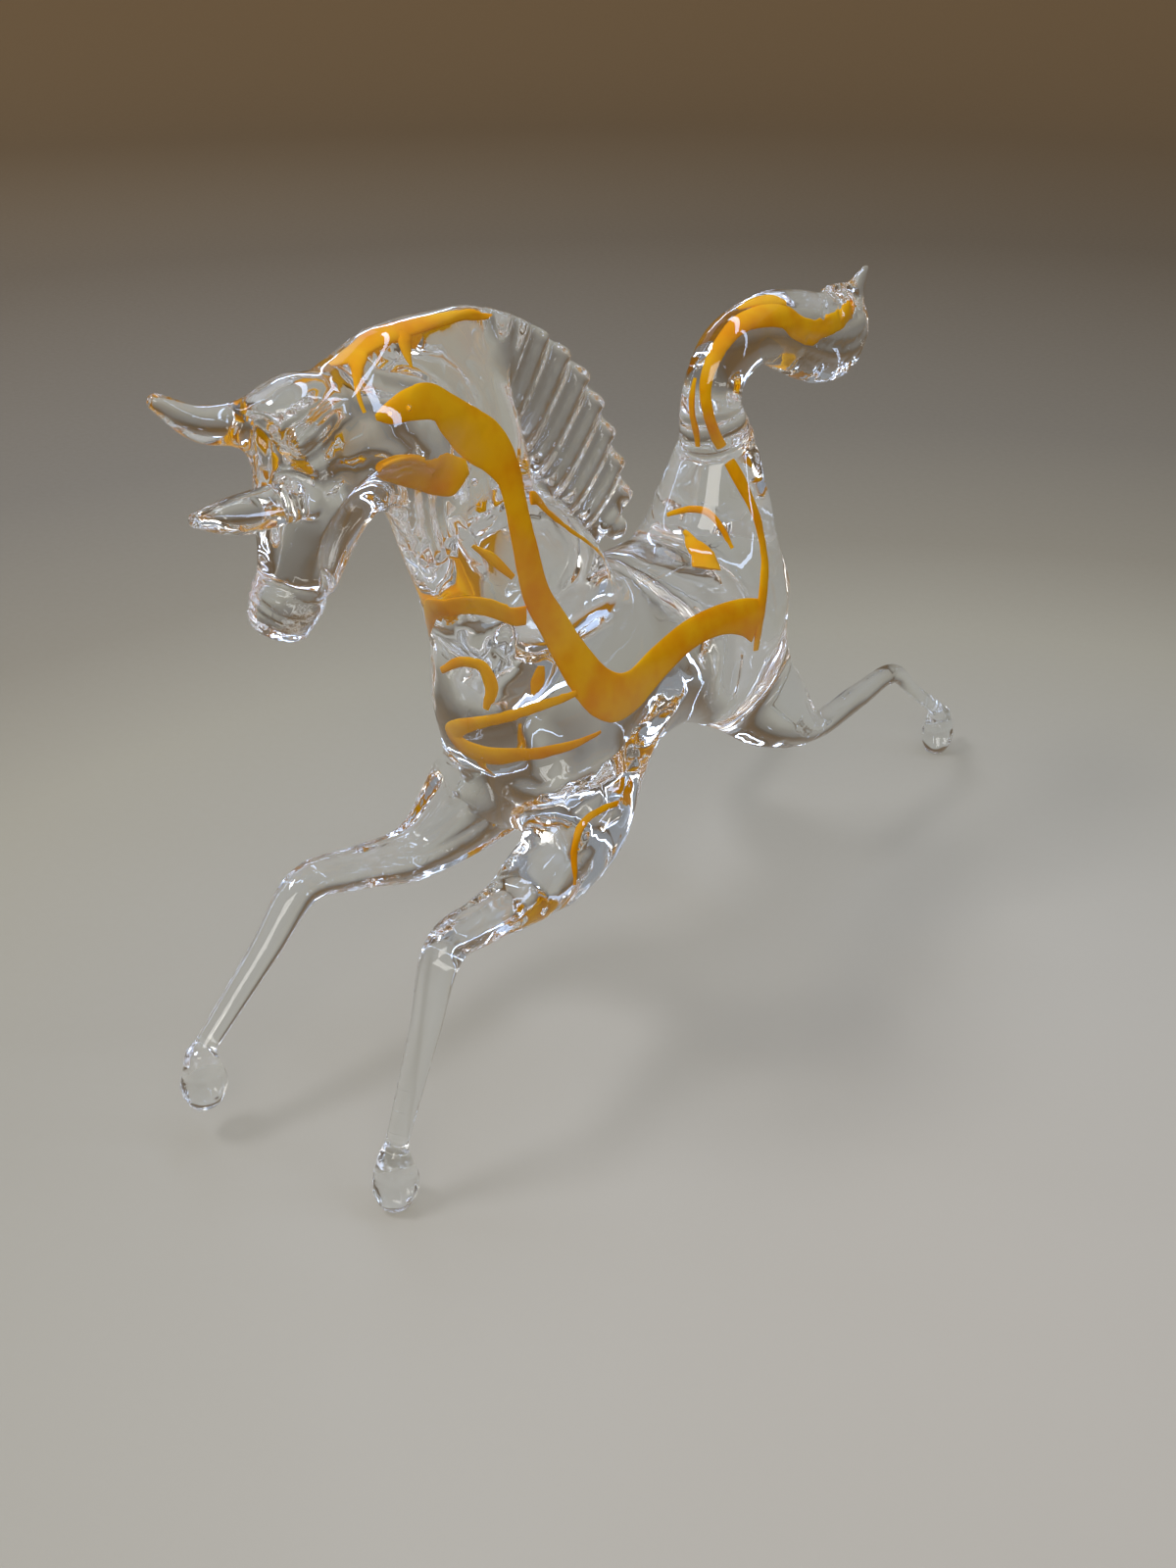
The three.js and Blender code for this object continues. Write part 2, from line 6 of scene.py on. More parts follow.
import bpy
import numpy as np
import openvdb
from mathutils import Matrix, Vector


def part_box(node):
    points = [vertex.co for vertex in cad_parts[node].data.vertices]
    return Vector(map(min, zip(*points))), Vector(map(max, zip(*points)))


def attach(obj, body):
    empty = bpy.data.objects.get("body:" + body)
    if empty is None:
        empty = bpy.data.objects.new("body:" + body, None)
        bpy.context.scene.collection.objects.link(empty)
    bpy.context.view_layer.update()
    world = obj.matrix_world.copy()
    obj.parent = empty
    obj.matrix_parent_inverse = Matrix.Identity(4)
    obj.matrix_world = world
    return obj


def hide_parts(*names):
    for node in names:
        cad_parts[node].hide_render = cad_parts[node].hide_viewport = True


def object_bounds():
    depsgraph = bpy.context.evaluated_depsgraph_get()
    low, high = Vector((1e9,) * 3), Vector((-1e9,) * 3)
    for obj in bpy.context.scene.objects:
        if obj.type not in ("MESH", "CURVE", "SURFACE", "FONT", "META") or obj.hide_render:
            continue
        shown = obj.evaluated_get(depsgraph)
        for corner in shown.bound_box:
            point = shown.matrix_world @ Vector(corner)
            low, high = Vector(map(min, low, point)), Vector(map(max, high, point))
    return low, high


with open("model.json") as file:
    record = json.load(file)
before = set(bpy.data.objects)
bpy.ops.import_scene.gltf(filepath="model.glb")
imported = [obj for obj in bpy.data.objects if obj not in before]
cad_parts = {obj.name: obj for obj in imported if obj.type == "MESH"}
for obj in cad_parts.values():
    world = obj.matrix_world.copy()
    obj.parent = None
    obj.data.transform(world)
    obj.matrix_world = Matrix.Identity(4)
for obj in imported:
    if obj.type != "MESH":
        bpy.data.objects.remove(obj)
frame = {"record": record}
cad_low, cad_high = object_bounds()

MM = 0.001

# Grid of the melted glass: its step, and how far from the skin its distances reach
STEP = 0.4
REACH = 4.5
# Room that it has round the CAD box, and what it works beyond a rod and a flat
ROOM = 3
ROD_MARGIN = 2
FLAT_MARGIN = 1

# Soles of the four hooves, drawn from under the middle of the barrel
SOLE = {
    "fore_left": (17.8, -76.0, 0.0),
    "fore_right": (-17.8, -83.0, 6.0),
    "hind_left": (12.3, 108.0, 0.0),
    "hind_right": (-26.0, 91.5, 0.0),
}
# Move from there into the frame, so that the left fore hoof stands where its CAD node does
foot_low, foot_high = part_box("hoof_fore_left")
SHIFT = np.array((foot_low + foot_high) / 2) / MM - np.array(SOLE["fore_left"])
SHIFT[2] = 0.0

# Main places of the body
NECK_REACH = 38
NECK_RISE = 53
RUMP = np.array((2.0, 25.5, 61.0))
CHEST = np.array((2.0, -25.5, 61.0))
POLL = CHEST + (0, -NECK_REACH, NECK_RISE)
NOSE = POLL + (-4.5, -5, -19)
TAIL_RING = RUMP + (0, 2.5, 31.5)


def along(points, t, even=False):
    """Points at places t, from 0 to 1, on the smooth curve through the given ones.

    Each span takes an equal share of t. The bends are weighed by the root of the spans' lengths,
    so that short spans don't loop, or are even for plain sizes.
    """
    points = np.asarray(points, float)
    spans = len(points) - 1
    place = np.clip(np.atleast_1d(t), 0, 1) * spans
    i = np.minimum(place.astype(int), spans - 1)
    w = (place - i)[:, None]
    run = np.vstack([2 * points[0] - points[1], points, 2 * points[-1] - points[-2]])
    x0, x1, x2, x3 = (run[i + k] for k in range(4))
    if even:
        m1, m2 = (x2 - x0) / 2, (x3 - x1) / 2
    else:
        d0, d1, d2 = (
            np.sqrt(np.maximum(np.linalg.norm(b - a, axis=1), 1e-6))[:, None]
            for a, b in ((x0, x1), (x1, x2), (x2, x3))
        )
        m1 = ((x1 - x0) / d0 - (x2 - x0) / (d0 + d1) + (x2 - x1) / d1) * d1
        m2 = ((x2 - x1) / d1 - (x3 - x1) / (d1 + d2) + (x3 - x2) / d2) * d1
    return x1 + w * (m1 + w * (3 * (x2 - x1) - 2 * m1 - m2 + w * (2 * (x1 - x2) + m1 + m2)))


def unit(v):
    """Vectors of length 1 that point the same way."""
    return v / np.maximum(np.linalg.norm(v, axis=-1, keepdims=True), 1e-9)


def between(a, b, k):
    """Place at share k of the way from a to b."""
    return a + (b - a) * k


class Drawn:
    """A drawn part: rows of (centre, half width, half depth) strung on a smooth curve.

    Its sections are ovals, and the squarer the section, the flatter its sides.
    """

    def __init__(self, rows, dome=(0.0, 0.0), across=(1, 0, 0), square=2.0):
        self.centres = np.array([r[0] for r in rows], float) + SHIFT
        self.halves = np.array([r[1:3] for r in rows], float)
        self.dome = dome
        self.square = square
        self.across = np.array(across, float)
        self.spans = len(rows) - 1

    def at(self, t):
        """Centre, way ahead, side, up and half sizes at places t along the part."""
        t = np.atleast_1d(np.asarray(t, float))
        ahead = along(self.centres, np.minimum(t + 1e-3, 1))
        behind = along(self.centres, np.maximum(t - 1e-3, 0))
        way = unit(ahead - behind)
        side = unit(self.across - (way @ self.across)[:, None] * way)
        up = np.cross(way, side)
        return along(self.centres, t), way, side, up, along(self.halves, t, even=True)

    def surface(self, t, degrees):
        """Points on the skin, that far along and round the part, and the way out from each."""
        centre, way, side, up, half = self.at(t)
        c, s = oval(np.radians(np.atleast_1d(degrees)), self.square)
        c, s = c[:, None], s[:, None]
        point = centre + side * half[:, :1] * c + up * half[:, 1:] * s
        steep = self.square - 1
        out_side = np.sign(c) * np.abs(c) ** steep / half[:, :1]
        out_up = np.sign(s) * np.abs(s) ** steep / half[:, 1:]
        return point, unit(side * out_side + up * out_up)

    def line(self, *stops, lift=0.0, count=24):
        """Points on the skin, or lifted off it, from stop to stop of (place along, degrees round)."""
        route = along(np.array(stops, float), np.linspace(0, 1, count), even=True)
        point, normal = self.surface(route[:, 0], route[:, 1])
        return point + normal * lift

    def skin(self, rings_per_span=12, sides=56, dome_rings=9):
        """Points and triangles of the whole part, with a dome over each end that has one."""
        t = np.linspace(0, 1, self.spans * rings_per_span + 1)
        # Degrees of the dome's rings, from its foot to just short of its tip
        climb = np.radians(np.linspace(8, 86, dome_rings))
        low, high = self.dome
        first = climb[::-1] if low > 0 else climb[:0]
        last = climb if high > 0 else climb[:0]
        ring = np.concatenate([np.full(len(first), 0), np.arange(len(t)), np.full(len(last), len(t) - 1)])
        lift = np.concatenate([-low * np.sin(first), np.zeros(len(t)), high * np.sin(last)])
        shrink = np.concatenate([np.cos(first), np.ones(len(t)), np.cos(last)])
        centre, way, side, up, half = (value[ring] for value in self.at(t))
        centre = centre + way * lift[:, None]
        half = half * shrink[:, None]
        c, s = oval(np.linspace(0, 2 * np.pi, sides, endpoint=False), self.square)
        rings = (centre[:, None] + side[:, None] * half[:, None, :1] * c[None, :, None]
                 + up[:, None] * half[:, None, 1:] * s[None, :, None])
        return closed_skin(rings)


def oval(angle, square):
    """Cosine and sine of an angle, drawn out to a squarer oval."""
    c, s = np.cos(angle), np.sin(angle)
    r = (np.abs(c) ** square + np.abs(s) ** square) ** (-1 / square)
    return c * r, s * r


def closed_skin(rings):
    """Points and triangles of a closed skin over rings of points, turned outwards."""
    count, sides = rings.shape[:2]
    points = np.vstack([rings.reshape(-1, 3), rings[0].mean(0), rings[-1].mean(0)])
    k = np.arange(sides)
    n = (k + 1) % sides
    tris = []
    for i in range(count - 1):
        a, b = i * sides + k, i * sides + n
        tris += [np.stack([a, b, a + sides], 1), np.stack([b, b + sides, a + sides], 1)]
    first, last = count * sides, count * sides + 1
    tris.append(np.stack([np.full(sides, first), n, k], 1))
    tris.append(np.stack([np.full(sides, last), (count - 1) * sides + k, (count - 1) * sides + n], 1))
    return points, np.vstack(tris)


class Melt:
    """Glass parts melted together: a grid of signed distances to their common skin."""

    def __init__(self, low, high):
        self.low = np.floor((np.array(low) - REACH) / STEP).astype(int)
        size = np.ceil((np.array(high) + REACH) / STEP).astype(int) - self.low + 1
        self.field = np.full(size, REACH, np.float32)

    def window(self, points, margin):
        """First cell and slices of the part of the grid round the points."""
        low = np.floor((points.min(0) - margin) / STEP).astype(int) - self.low
        high = np.ceil((points.max(0) + margin) / STEP).astype(int) - self.low + 1
        low, high = np.maximum(low, 0), np.minimum(high, self.field.shape)
        return low, tuple(slice(a, b) for a, b in zip(low, high))

    def join(self, points, triangles, fillet):
        """Melts a closed skin onto the glass, with a fillet of about that many millimetres."""
        grid = openvdb.FloatGrid.createLevelSetFromPolygons(
            points.astype(np.float32), triangles=triangles.astype(np.uint32),
            transform=openvdb.createLinearTransform(voxelSize=STEP), halfWidth=REACH / STEP)
        low, window = self.window(points, REACH)
        part = np.empty(self.field[window].shape, np.float32)
        grid.copyToArray(part, ijk=tuple(int(v) for v in low + self.low))
        there = self.field[window]
        near = np.maximum(fillet - np.abs(there - part), 0)
        self.field[window] = np.minimum(there, part) - near * near / (4 * fillet)

    def carve(self, window, cut, fillet):
        """Takes away the glass where cut is above zero, with a small fillet at the rim."""
        there = self.field[window]
        near = np.maximum(fillet - np.abs(there - cut), 0)
        self.field[window] = np.maximum(there, cut) + near * near / (4 * fillet)

    def press(self, path, radius, fillet=0.4):
        """Presses a rod of that radius, lying along the path, into the glass."""
        _, window = self.window(path, radius + ROD_MARGIN)
        axes = [(np.arange(s.start, s.stop) + first) * STEP for s, first in zip(window, self.low)]
        p = np.stack(np.meshgrid(*axes, indexing="ij"), -1)
        rod = np.full(p.shape[:3], 1e3)
        for a, b in zip(path[:-1], path[1:]):
            w = np.clip(((p - a) @ (b - a)) / max((b - a) @ (b - a), 1e-9), 0, 1)
            rod = np.minimum(rod, np.linalg.norm(p - a - w[..., None] * (b - a), axis=-1))
        self.carve(window, radius - rod, fillet)

    def flatten(self, part, t, degrees, depth, fillet=0.3):
        """Paddles a flat on a part's skin, that deep at the middle."""
        points, _ = part.skin()
        _, window = self.window(points, FLAT_MARGIN)
        (middle,), (out,) = part.surface([t], [degrees])
        x, y, z = ((np.arange(s.start, s.stop) + first) * STEP - m
                   for s, first, m in zip(window, self.low, middle))
        plane = x[:, None, None] * out[0] + y[:, None] * out[1] + z * out[2] + depth
        self.carve(window, plane.astype(np.float32), fillet)

    def settle(self, width):
        """Softens the skin as a flame does, over about that many millimetres."""
        r = int(math.ceil(2.5 * width / STEP))
        k = np.exp(-0.5 * (np.arange(-r, r + 1) * STEP / width) ** 2)
        k = (k / k.sum()).astype(np.float32)
        for axis in range(3):
            pad = [(r, r) if i == axis else (0, 0) for i in range(3)]
            wide = np.pad(self.field, pad, mode="edge")
            n = self.field.shape[axis]
            self.field = sum(w * np.take(wide, range(i, i + n), axis) for i, w in enumerate(k))

    def level(self, points):
        """Signed distance to the skin at each point."""
        p = points / STEP - self.low
        i = np.clip(np.floor(p).astype(int), 0, np.array(self.field.shape) - 2)
        w = np.clip(p - i, 0, 1)
        total = np.zeros(len(points))
        for dx in (0, 1):
            for dy in (0, 1):
                for dz in (0, 1):
                    share = (np.abs(1 - dx - w[:, 0]) * np.abs(1 - dy - w[:, 1])
                             * np.abs(1 - dz - w[:, 2]))
                    total += share * self.field[i[:, 0] + dx, i[:, 1] + dy, i[:, 2] + dz]
        return total

    def slope(self, points):
        """Rise of that distance along x, y and z at each point."""
        steps = np.eye(3) * STEP
        return np.stack([(self.level(points + d) - self.level(points - d)) / (2 * STEP) for d in steps], 1)

    def sink(self, points, depth, rounds=12):
        """Moves points along the slope until they lie that deep under the skin."""
        points = points.copy()
        for _ in range(rounds):
            g = self.slope(points)
            miss = self.level(points) + depth
            points -= np.clip(miss / np.maximum((g * g).sum(1), 0.05), -1, 1)[:, None] * g
        return points

    def skin(self):
        """Points and faces of the common skin."""
        grid = openvdb.FloatGrid(REACH)
        grid.transform = openvdb.createLinearTransform(voxelSize=STEP)
        grid.copyFromArray(self.field, ijk=tuple(int(v) for v in self.low))
        points, triangles, quads = grid.convertToPolygons(isovalue=0.0, adaptivity=0.15)
        points = self.sink(points.astype(float), 0.0)
        return points, triangles.tolist() + quads.tolist()


# Trunk, neck and head, with squarish sections
SQUARISH = 2.3
trunk = Drawn([
    (RUMP + (0, 11, -1.5), 10.85, 13.5),
    (RUMP + (0, 0, -1.5), 15.5, 18),
    (between(RUMP, CHEST, 0.35) + (0, 0, 1), 15.5, 16),
    (between(RUMP, CHEST, 0.7) + (0, 0, 0.5), 15.5, 17),
    (CHEST + (0, 0, -3), 15, 21),
    (CHEST + (0, -6.5, -5), 11.7, 17.85),
], dome=(5, 4), square=SQUARISH)


def neck_at(reach, rise):
    """Place at those shares of the neck's reach and rise."""
    return CHEST + (0, -NECK_REACH * reach, NECK_RISE * rise)


neck = Drawn([
    (neck_at(-0.14, 0.04), 13, 15.2),
    (neck_at(0, 0.34), 12.5, 16.2),
    (neck_at(0.28, 0.65), 10.2, 11.4),
    (neck_at(0.46, 0.96), 7, 13.4),
    (neck_at(0.72, 1.04), 8.2, 11),
    (POLL, 8, 10),
], dome=(4, 5), square=SQUARISH)
crest = Drawn([
    (CHEST + (0, -27, 63), 4, 3.5),
    (CHEST + (0, -18, 63.5), 4, 3.5),
    (CHEST + (0, -8.5, 63), 3.6, 4),
    (CHEST + (0, -4.5, 60), 3, 4),
], dome=(3, 2))
head = Drawn([
    (POLL + (-1.5, -5, 8), 5, 6),
    (between(POLL, NOSE, 0.15) + (0, -2, 0), 6.5, 8),
    (between(POLL, NOSE, 0.6) + (0, 1.2, 0), 5.9, 7.9),
    (NOSE + (0, 0.9, 0), 4.5, 5.3),
], dome=(3, 0), square=SQUARISH)
cheek = Drawn([
    (POLL + (0.5, 1, -4), 5, 6),
    (POLL + (0.8, 4.8, -10.6), 4.2, 5.4),
], dome=(3, 2.5))
MUZZLE_OVERLAP = 0.6
MUZZLE_LENGTH = 7.2
snout_way = unit(NOSE - between(POLL, NOSE, 0.6))
MUZZLE_TOP = NOSE - MUZZLE_OVERLAP * snout_way
MUZZLE_END = MUZZLE_TOP + MUZZLE_LENGTH * snout_way
muzzle = Drawn([
    (MUZZLE_TOP, 4.8, 5.4),
    (between(MUZZLE_TOP, MUZZLE_END, 0.5), 4.8, 5.2),
    (between(MUZZLE_TOP, MUZZLE_END, 0.85), 4.2, 4.4),
], dome=(1, 1.2), square=SQUARISH)


def ear(root, middle, tip, across, width, thickness):
    """Flat ear that starts inside the head and is drawn to a tip; width and thickness are halves."""
    return Drawn([
        (between(root, middle, -0.4), width, thickness),
        (root, width, thickness * 1.1),
        (middle, width * 0.9, thickness),
        (tip, width * 0.4, thickness * 0.6),
    ], dome=(1, 1.2), across=across)


ear_right = ear(POLL + (-6, -5, 4.6), POLL + (-8, -14, 5.8), POLL + (-9.8, -19.2, 9.6),
                across=(0.7, 0, -0.7), width=2.9, thickness=2.1)
ear_left = ear(POLL + (3, -11, -3), POLL + (3, -19.4, -2.4), POLL + (3.1, -25, -1.2),
               across=(0.68, 0, -0.73), width=2.9, thickness=1.9)

# Mane comb: its foot along the crest and its edge, (back, up) from the chest
MANE_FOOT = ((-5.7, 60.5), (-2.6, 50.8), (3.8, 42.1), (10.8, 32.9), (17.8, 25.1))
MANE_EDGE = ((-4.2, 65.2), (4.3, 60.9), (14.1, 52.9), (20.7, 42.5), (25.5, 30.9))
MANE_RIBS = 9
MANE_RIB_HALF = 2.5
MANE_HALF_THICKNESS = 2.9
MANE_WEB_HALF = 1.9
MANE_WEB_MIDDLE = 0.45
MANE_WEB_SHARE = 0.53
mane_share = np.linspace(0, 1, MANE_RIBS)
mane_roots = along([CHEST + (0, *p) for p in MANE_FOOT], mane_share)
mane_tips = along([CHEST + (0, *p) for p in MANE_EDGE], mane_share)
mane_web = Drawn([
    (between(root, tip, MANE_WEB_MIDDLE), MANE_WEB_HALF, np.linalg.norm(tip - root) * MANE_WEB_SHARE)
    for root, tip in zip(mane_roots, mane_tips)
], dome=(1, 1), square=2.6)
mane_knob = Drawn([
    (CHEST + (0, 20, 27.5), 2.2, 2.4),
    (CHEST + (0, 24.3, 24), 2, 2.2),
], dome=(1.8, 1.8))

# Tail: root up to the pinch ring, hooked plume and drawn tip
tail_root = Drawn([
    (RUMP + (0, 1, 4), 12.7, 13.95),
    (between(RUMP, TAIL_RING, 0.6), 10.5, 11.2),
    (TAIL_RING, 6.9, 6.9),
], dome=(2, 0))
PLUME_FOOT = TAIL_RING + (0, -0.1, -1)
HOOK_REACH = 50
HOOK_RISE = 18


def hook(reach, rise):
    """Place at those shares of the tail's reach and rise."""
    return PLUME_FOOT + (0, HOOK_REACH * reach, HOOK_RISE * rise)


tail_plume = Drawn([
    (PLUME_FOOT, 6.9, 6.9),
    (hook(-0.05, 0.5), 5, 5.6),
    (hook(0.03, 0.86), 5, 5.8),
    (hook(0.26, 1), 5, 6.1),
    (hook(0.44, 0.86), 5, 7.4),
    (hook(0.65, 0.67), 4.6, 8.2),
    (hook(0.82, 0.63), 3.6, 8),
    (hook(0.92, 0.7), 2.4, 5.4),
], dome=(0, 1.5))
tail_tip = Drawn([
    (hook(0.7, 0.92), 2.2, 5),
    (hook(0.86, 1), 1.6, 3.2),
    (hook(0.96, 1.25), 0.6, 0.7),
], dome=(1, 0.6))

# Knees and hocks of the legs
BEND = {
    "fore_left": SOLE["fore_left"] + np.array((0, 13.5, 41)),
    "fore_right": SOLE["fore_right"] + np.array((0, 25, 29.5)),
    "hind_left": SOLE["hind_left"] + np.array((0, -25, 29.2)),
    "hind_right": SOLE["hind_right"] + np.array((0, -19, 25)),
}
# Root, upper leg, and elbow or stifle
LIMB = {
    "fore_left": (CHEST + (1, 6, -4), CHEST + (11, 2, -16), BEND["fore_left"] + (-1.5, 20, -1)),
    "fore_right": (CHEST + (-1, 6, -4), CHEST + (-12, 3, -20), BEND["fore_right"] + (2.6, 24, -4)),
    "hind_left": (RUMP + (2, -3, -4), RUMP + (9.5, 9, -20), BEND["hind_left"] + (0.3, -33, 1)),
    "hind_right": (RUMP + (-2, -3, -4), RUMP + (-13, 9, -21), BEND["hind_right"] + (5, -25, 4)),
}
# Half sizes at the root and upper leg, and radii at the elbow or stifle and at the knee or hock
HALF = {
    "fore_left": ((8, 14), (7.5, 9.5), 5.2, 3.3),
    "fore_right": ((8, 14), (8.5, 11), 5.4, 3.3),
    "hind_left": ((8, 12), (6.5, 8.5), 3.2, 2.2),
    "hind_right": ((8, 12), (6.5, 8.5), 3.2, 2.2),
}
FETLOCK_RISE = 10.0
FETLOCK_HALF = 1.9


def leg(corner):
    """Leg from inside the body down to the fetlock."""
    root, upper, elbow = LIMB[corner]
    bend = BEND[corner]
    fetlock = SOLE[corner] + np.array((0, 0, FETLOCK_RISE))
    root_half, upper_half, r_elbow, r_bend = HALF[corner]
    return Drawn([
        (root, *root_half),
        (upper, *upper_half),
        (elbow, r_elbow, r_elbow),
        (between(elbow, bend, 0.55), r_bend + 0.5, r_bend + 0.5),
        (bend, r_bend, r_bend),
        (between(bend, fetlock, 0.4), r_bend * 0.75, r_bend * 0.78),
        (fetlock, FETLOCK_HALF, FETLOCK_HALF),
    ], dome=(2, 1))


def hoof(corner):
    """Hoof from the fetlock down to a flat sole."""
    sole = np.array(SOLE[corner])
    return Drawn([
        (sole + (0, 0, 11), 2.1, 2.1),
        (sole + (0, 0, 7.7), 2.97, 3.2),
        (sole + (0, 0, 3.85), 3.5, 4),
        (sole, 2.2, 2.6),
    ])


# Pinched brows over the eyes, and the toe drawn to a point on the left hind hoof
brow_left = Drawn([
    (POLL + (4, -8.5, 4.5), 1.3, 1.5),
    (POLL + (4.5, -3, 7), 1.2, 1.4),
], dome=(1.3, 1.3))
brow_right = Drawn([
    (POLL + (-4, -11, 4.5), 1.3, 1.5),
    (POLL + (-5, -5.5, 7.5), 1.2, 1.4),
], dome=(1.3, 1.3))
toe_spike = Drawn([
    (np.array(SOLE["hind_left"]) + (0, 1, 6.5), 1.6, 1.6),
    (np.array(SOLE["hind_left"]) + (0, 6.5, 5.5), 0.7, 0.7),
], dome=(1, 0.7))

# Web of glass pulled from the flank down to the left elbow
arm_web = Drawn([
    (CHEST + (11.5, 29, 1), 2.4, 2.4),
    (CHEST + (13, 18, -2), 2.8, 2.8),
    (CHEST + (13.5, 10, -9), 3, 3.2),
    (CHEST + (14, 2, -16), 3.2, 3.4),
    (CHEST + (14, -10, -23), 3.2, 3.4),
], dome=(2, 2))

corners = list(SOLE)
legs = {c: leg(c) for c in corners}
hooves = {c: hoof(c) for c in corners}


def hex_colour(code):
    """Linear colour of an sRGB hex value."""
    srgb = [int(code[i:i + 2], 16) / 255 for i in (1, 3, 5)]
    return [v / 12.92 if v <= 0.04045 else ((v + 0.055) / 1.055) ** 2.4 for v in srgb]


def add_node(tree, kind, links=None, **settings):
    """Adds a node, sets its properties, then links or sets its inputs."""
    node = tree.nodes.new(kind)
    for name, value in settings.items():
        setattr(node, name, value)
    for key, value in (links or {}).items():
        if isinstance(value, bpy.types.NodeSocket):
            tree.links.new(value, node.inputs[key])
        else:
            node.inputs[key].default_value = value
    return node


def new_material(name):
    """Material, its empty tree and its output node."""
    material = bpy.data.materials.new(name)
    material.use_nodes = True
    tree = material.node_tree
    tree.nodes.clear()
    return material, tree, add_node(tree, "ShaderNodeOutputMaterial")


GLASS_IOR = 1.5


def clear_glass():
    # Clear soda-lime glass, drawn hot and fire-polished: a mirror-smooth skin that rolls in
    # faint waves a few millimetres long.
    wave_length = 7 * MM
    wave_height = 0.12 * MM
    material, tree, out = new_material("clear_soda_lime_glass")
    place = add_node(tree, "ShaderNodeTexCoord")
    waves = add_node(tree, "ShaderNodeTexNoise", {
        "Vector": place.outputs["Object"], "Scale": 1 / wave_length, "Detail": 1.0, "Roughness": 0.4})
    roll = add_node(tree, "ShaderNodeBump", {
        "Height": waves.outputs["Fac"], "Strength": 0.35, "Distance": wave_height})
    body = add_node(tree, "ShaderNodeBsdfPrincipled", {
        "Base Color": (*hex_colour("#fbfdfd"), 1), "Roughness": 0.0, "IOR": GLASS_IOR,
        "Transmission Weight": 1.0, "Normal": roll.outputs["Normal"]})
    # The lamps shine through it onto the ribbons and the table, a little dimmed
    lamp_way = add_node(tree, "ShaderNodeBsdfTransparent", {"Color": (*hex_colour("#e2e1dd"), 1)})
    path = add_node(tree, "ShaderNodeLightPath")
    either = add_node(tree, "ShaderNodeMath", {
        0: path.outputs["Is Shadow Ray"], 1: path.outputs["Is Diffuse Ray"]}, operation="MAXIMUM")
    mix = add_node(tree, "ShaderNodeMixShader", {
        0: either.outputs[0], 1: body.outputs[0], 2: lamp_way.outputs[0]})
    tree.links.new(mix.outputs[0], out.inputs["Surface"])
    return material


def amber_glass():
    # Dense amber glass drawn out to a ribbon: one deep yellow with soft clouds of orange. It lies
    # inside the clear glass, so it has no gloss of its own.
    cloud_length = 9 * MM
    material, tree, out = new_material("amber_ribbon_glass")
    place = add_node(tree, "ShaderNodeTexCoord")
    clouds = add_node(tree, "ShaderNodeTexNoise", {
        "Vector": place.outputs["Object"], "Scale": 1 / cloud_length, "Detail": 3.0, "Roughness": 0.55})
    ramp = add_node(tree, "ShaderNodeValToRGB", {"Fac": clouds.outputs["Fac"]})
    stops = ramp.color_ramp.elements
    stops[0].position, stops[0].color = 0.34, (*hex_colour("#f49a00"), 1)
    stops[1].position, stops[1].color = 0.62, (*hex_colour("#ffba10"), 1)
    body = add_node(tree, "ShaderNodeBsdfPrincipled", {
        "Base Color": ramp.outputs["Color"], "Roughness": 0.5, "Specular IOR Level": 0.0})
    tree.links.new(body.outputs[0], out.inputs["Surface"])
    return material


def air_in_glass():
    # Air shut in the glass: light bends the other way as it enters, which draws a dark ring.
    material, tree, out = new_material("air_in_glass")
    body = add_node(tree, "ShaderNodeBsdfGlass", {
        "Color": (1, 1, 1, 1), "Roughness": 0.0, "IOR": 1 / GLASS_IOR})
    lamp_way = add_node(tree, "ShaderNodeBsdfTransparent", {"Color": (1, 1, 1, 1)})
    path = add_node(tree, "ShaderNodeLightPath")
    mix = add_node(tree, "ShaderNodeMixShader", {
        0: path.outputs["Is Shadow Ray"], 1: body.outputs[0], 2: lamp_way.outputs[0]})
    tree.links.new(mix.outputs[0], out.inputs["Surface"])
    return material


CLEAR = clear_glass()
AMBER = amber_glass()
AIR = air_in_glass()


def new_tree(name, **inputs):
    """Geometry node tree with named inputs."""
    tree = bpy.data.node_groups.new(name, "GeometryNodeTree")
    tree.interface.new_socket("Geometry", in_out="INPUT", socket_type="NodeSocketGeometry")
    for label, kind in inputs.items():
        tree.interface.new_socket(label, in_out="INPUT", socket_type=f"NodeSocket{kind}")
    tree.interface.new_socket("Geometry", in_out="OUTPUT", socket_type="NodeSocketGeometry")
    return tree, add_node(tree, "NodeGroupInput").outputs, add_node(tree, "NodeGroupOutput")


def finish_tree(tree, geometry, material, out):
    """Ends a tree in plain smooth geometry of one material."""
    whole = add_node(tree, "GeometryNodeRealizeInstances", {"Geometry": geometry})
    smooth = add_node(tree, "GeometryNodeSetShadeSmooth", {"Geometry": whole.outputs[0]})
    coated = add_node(tree, "GeometryNodeSetMaterial", {
        "Geometry": smooth.outputs[0], "Material": material})
    tree.links.new(coated.outputs[0], out.inputs[0])


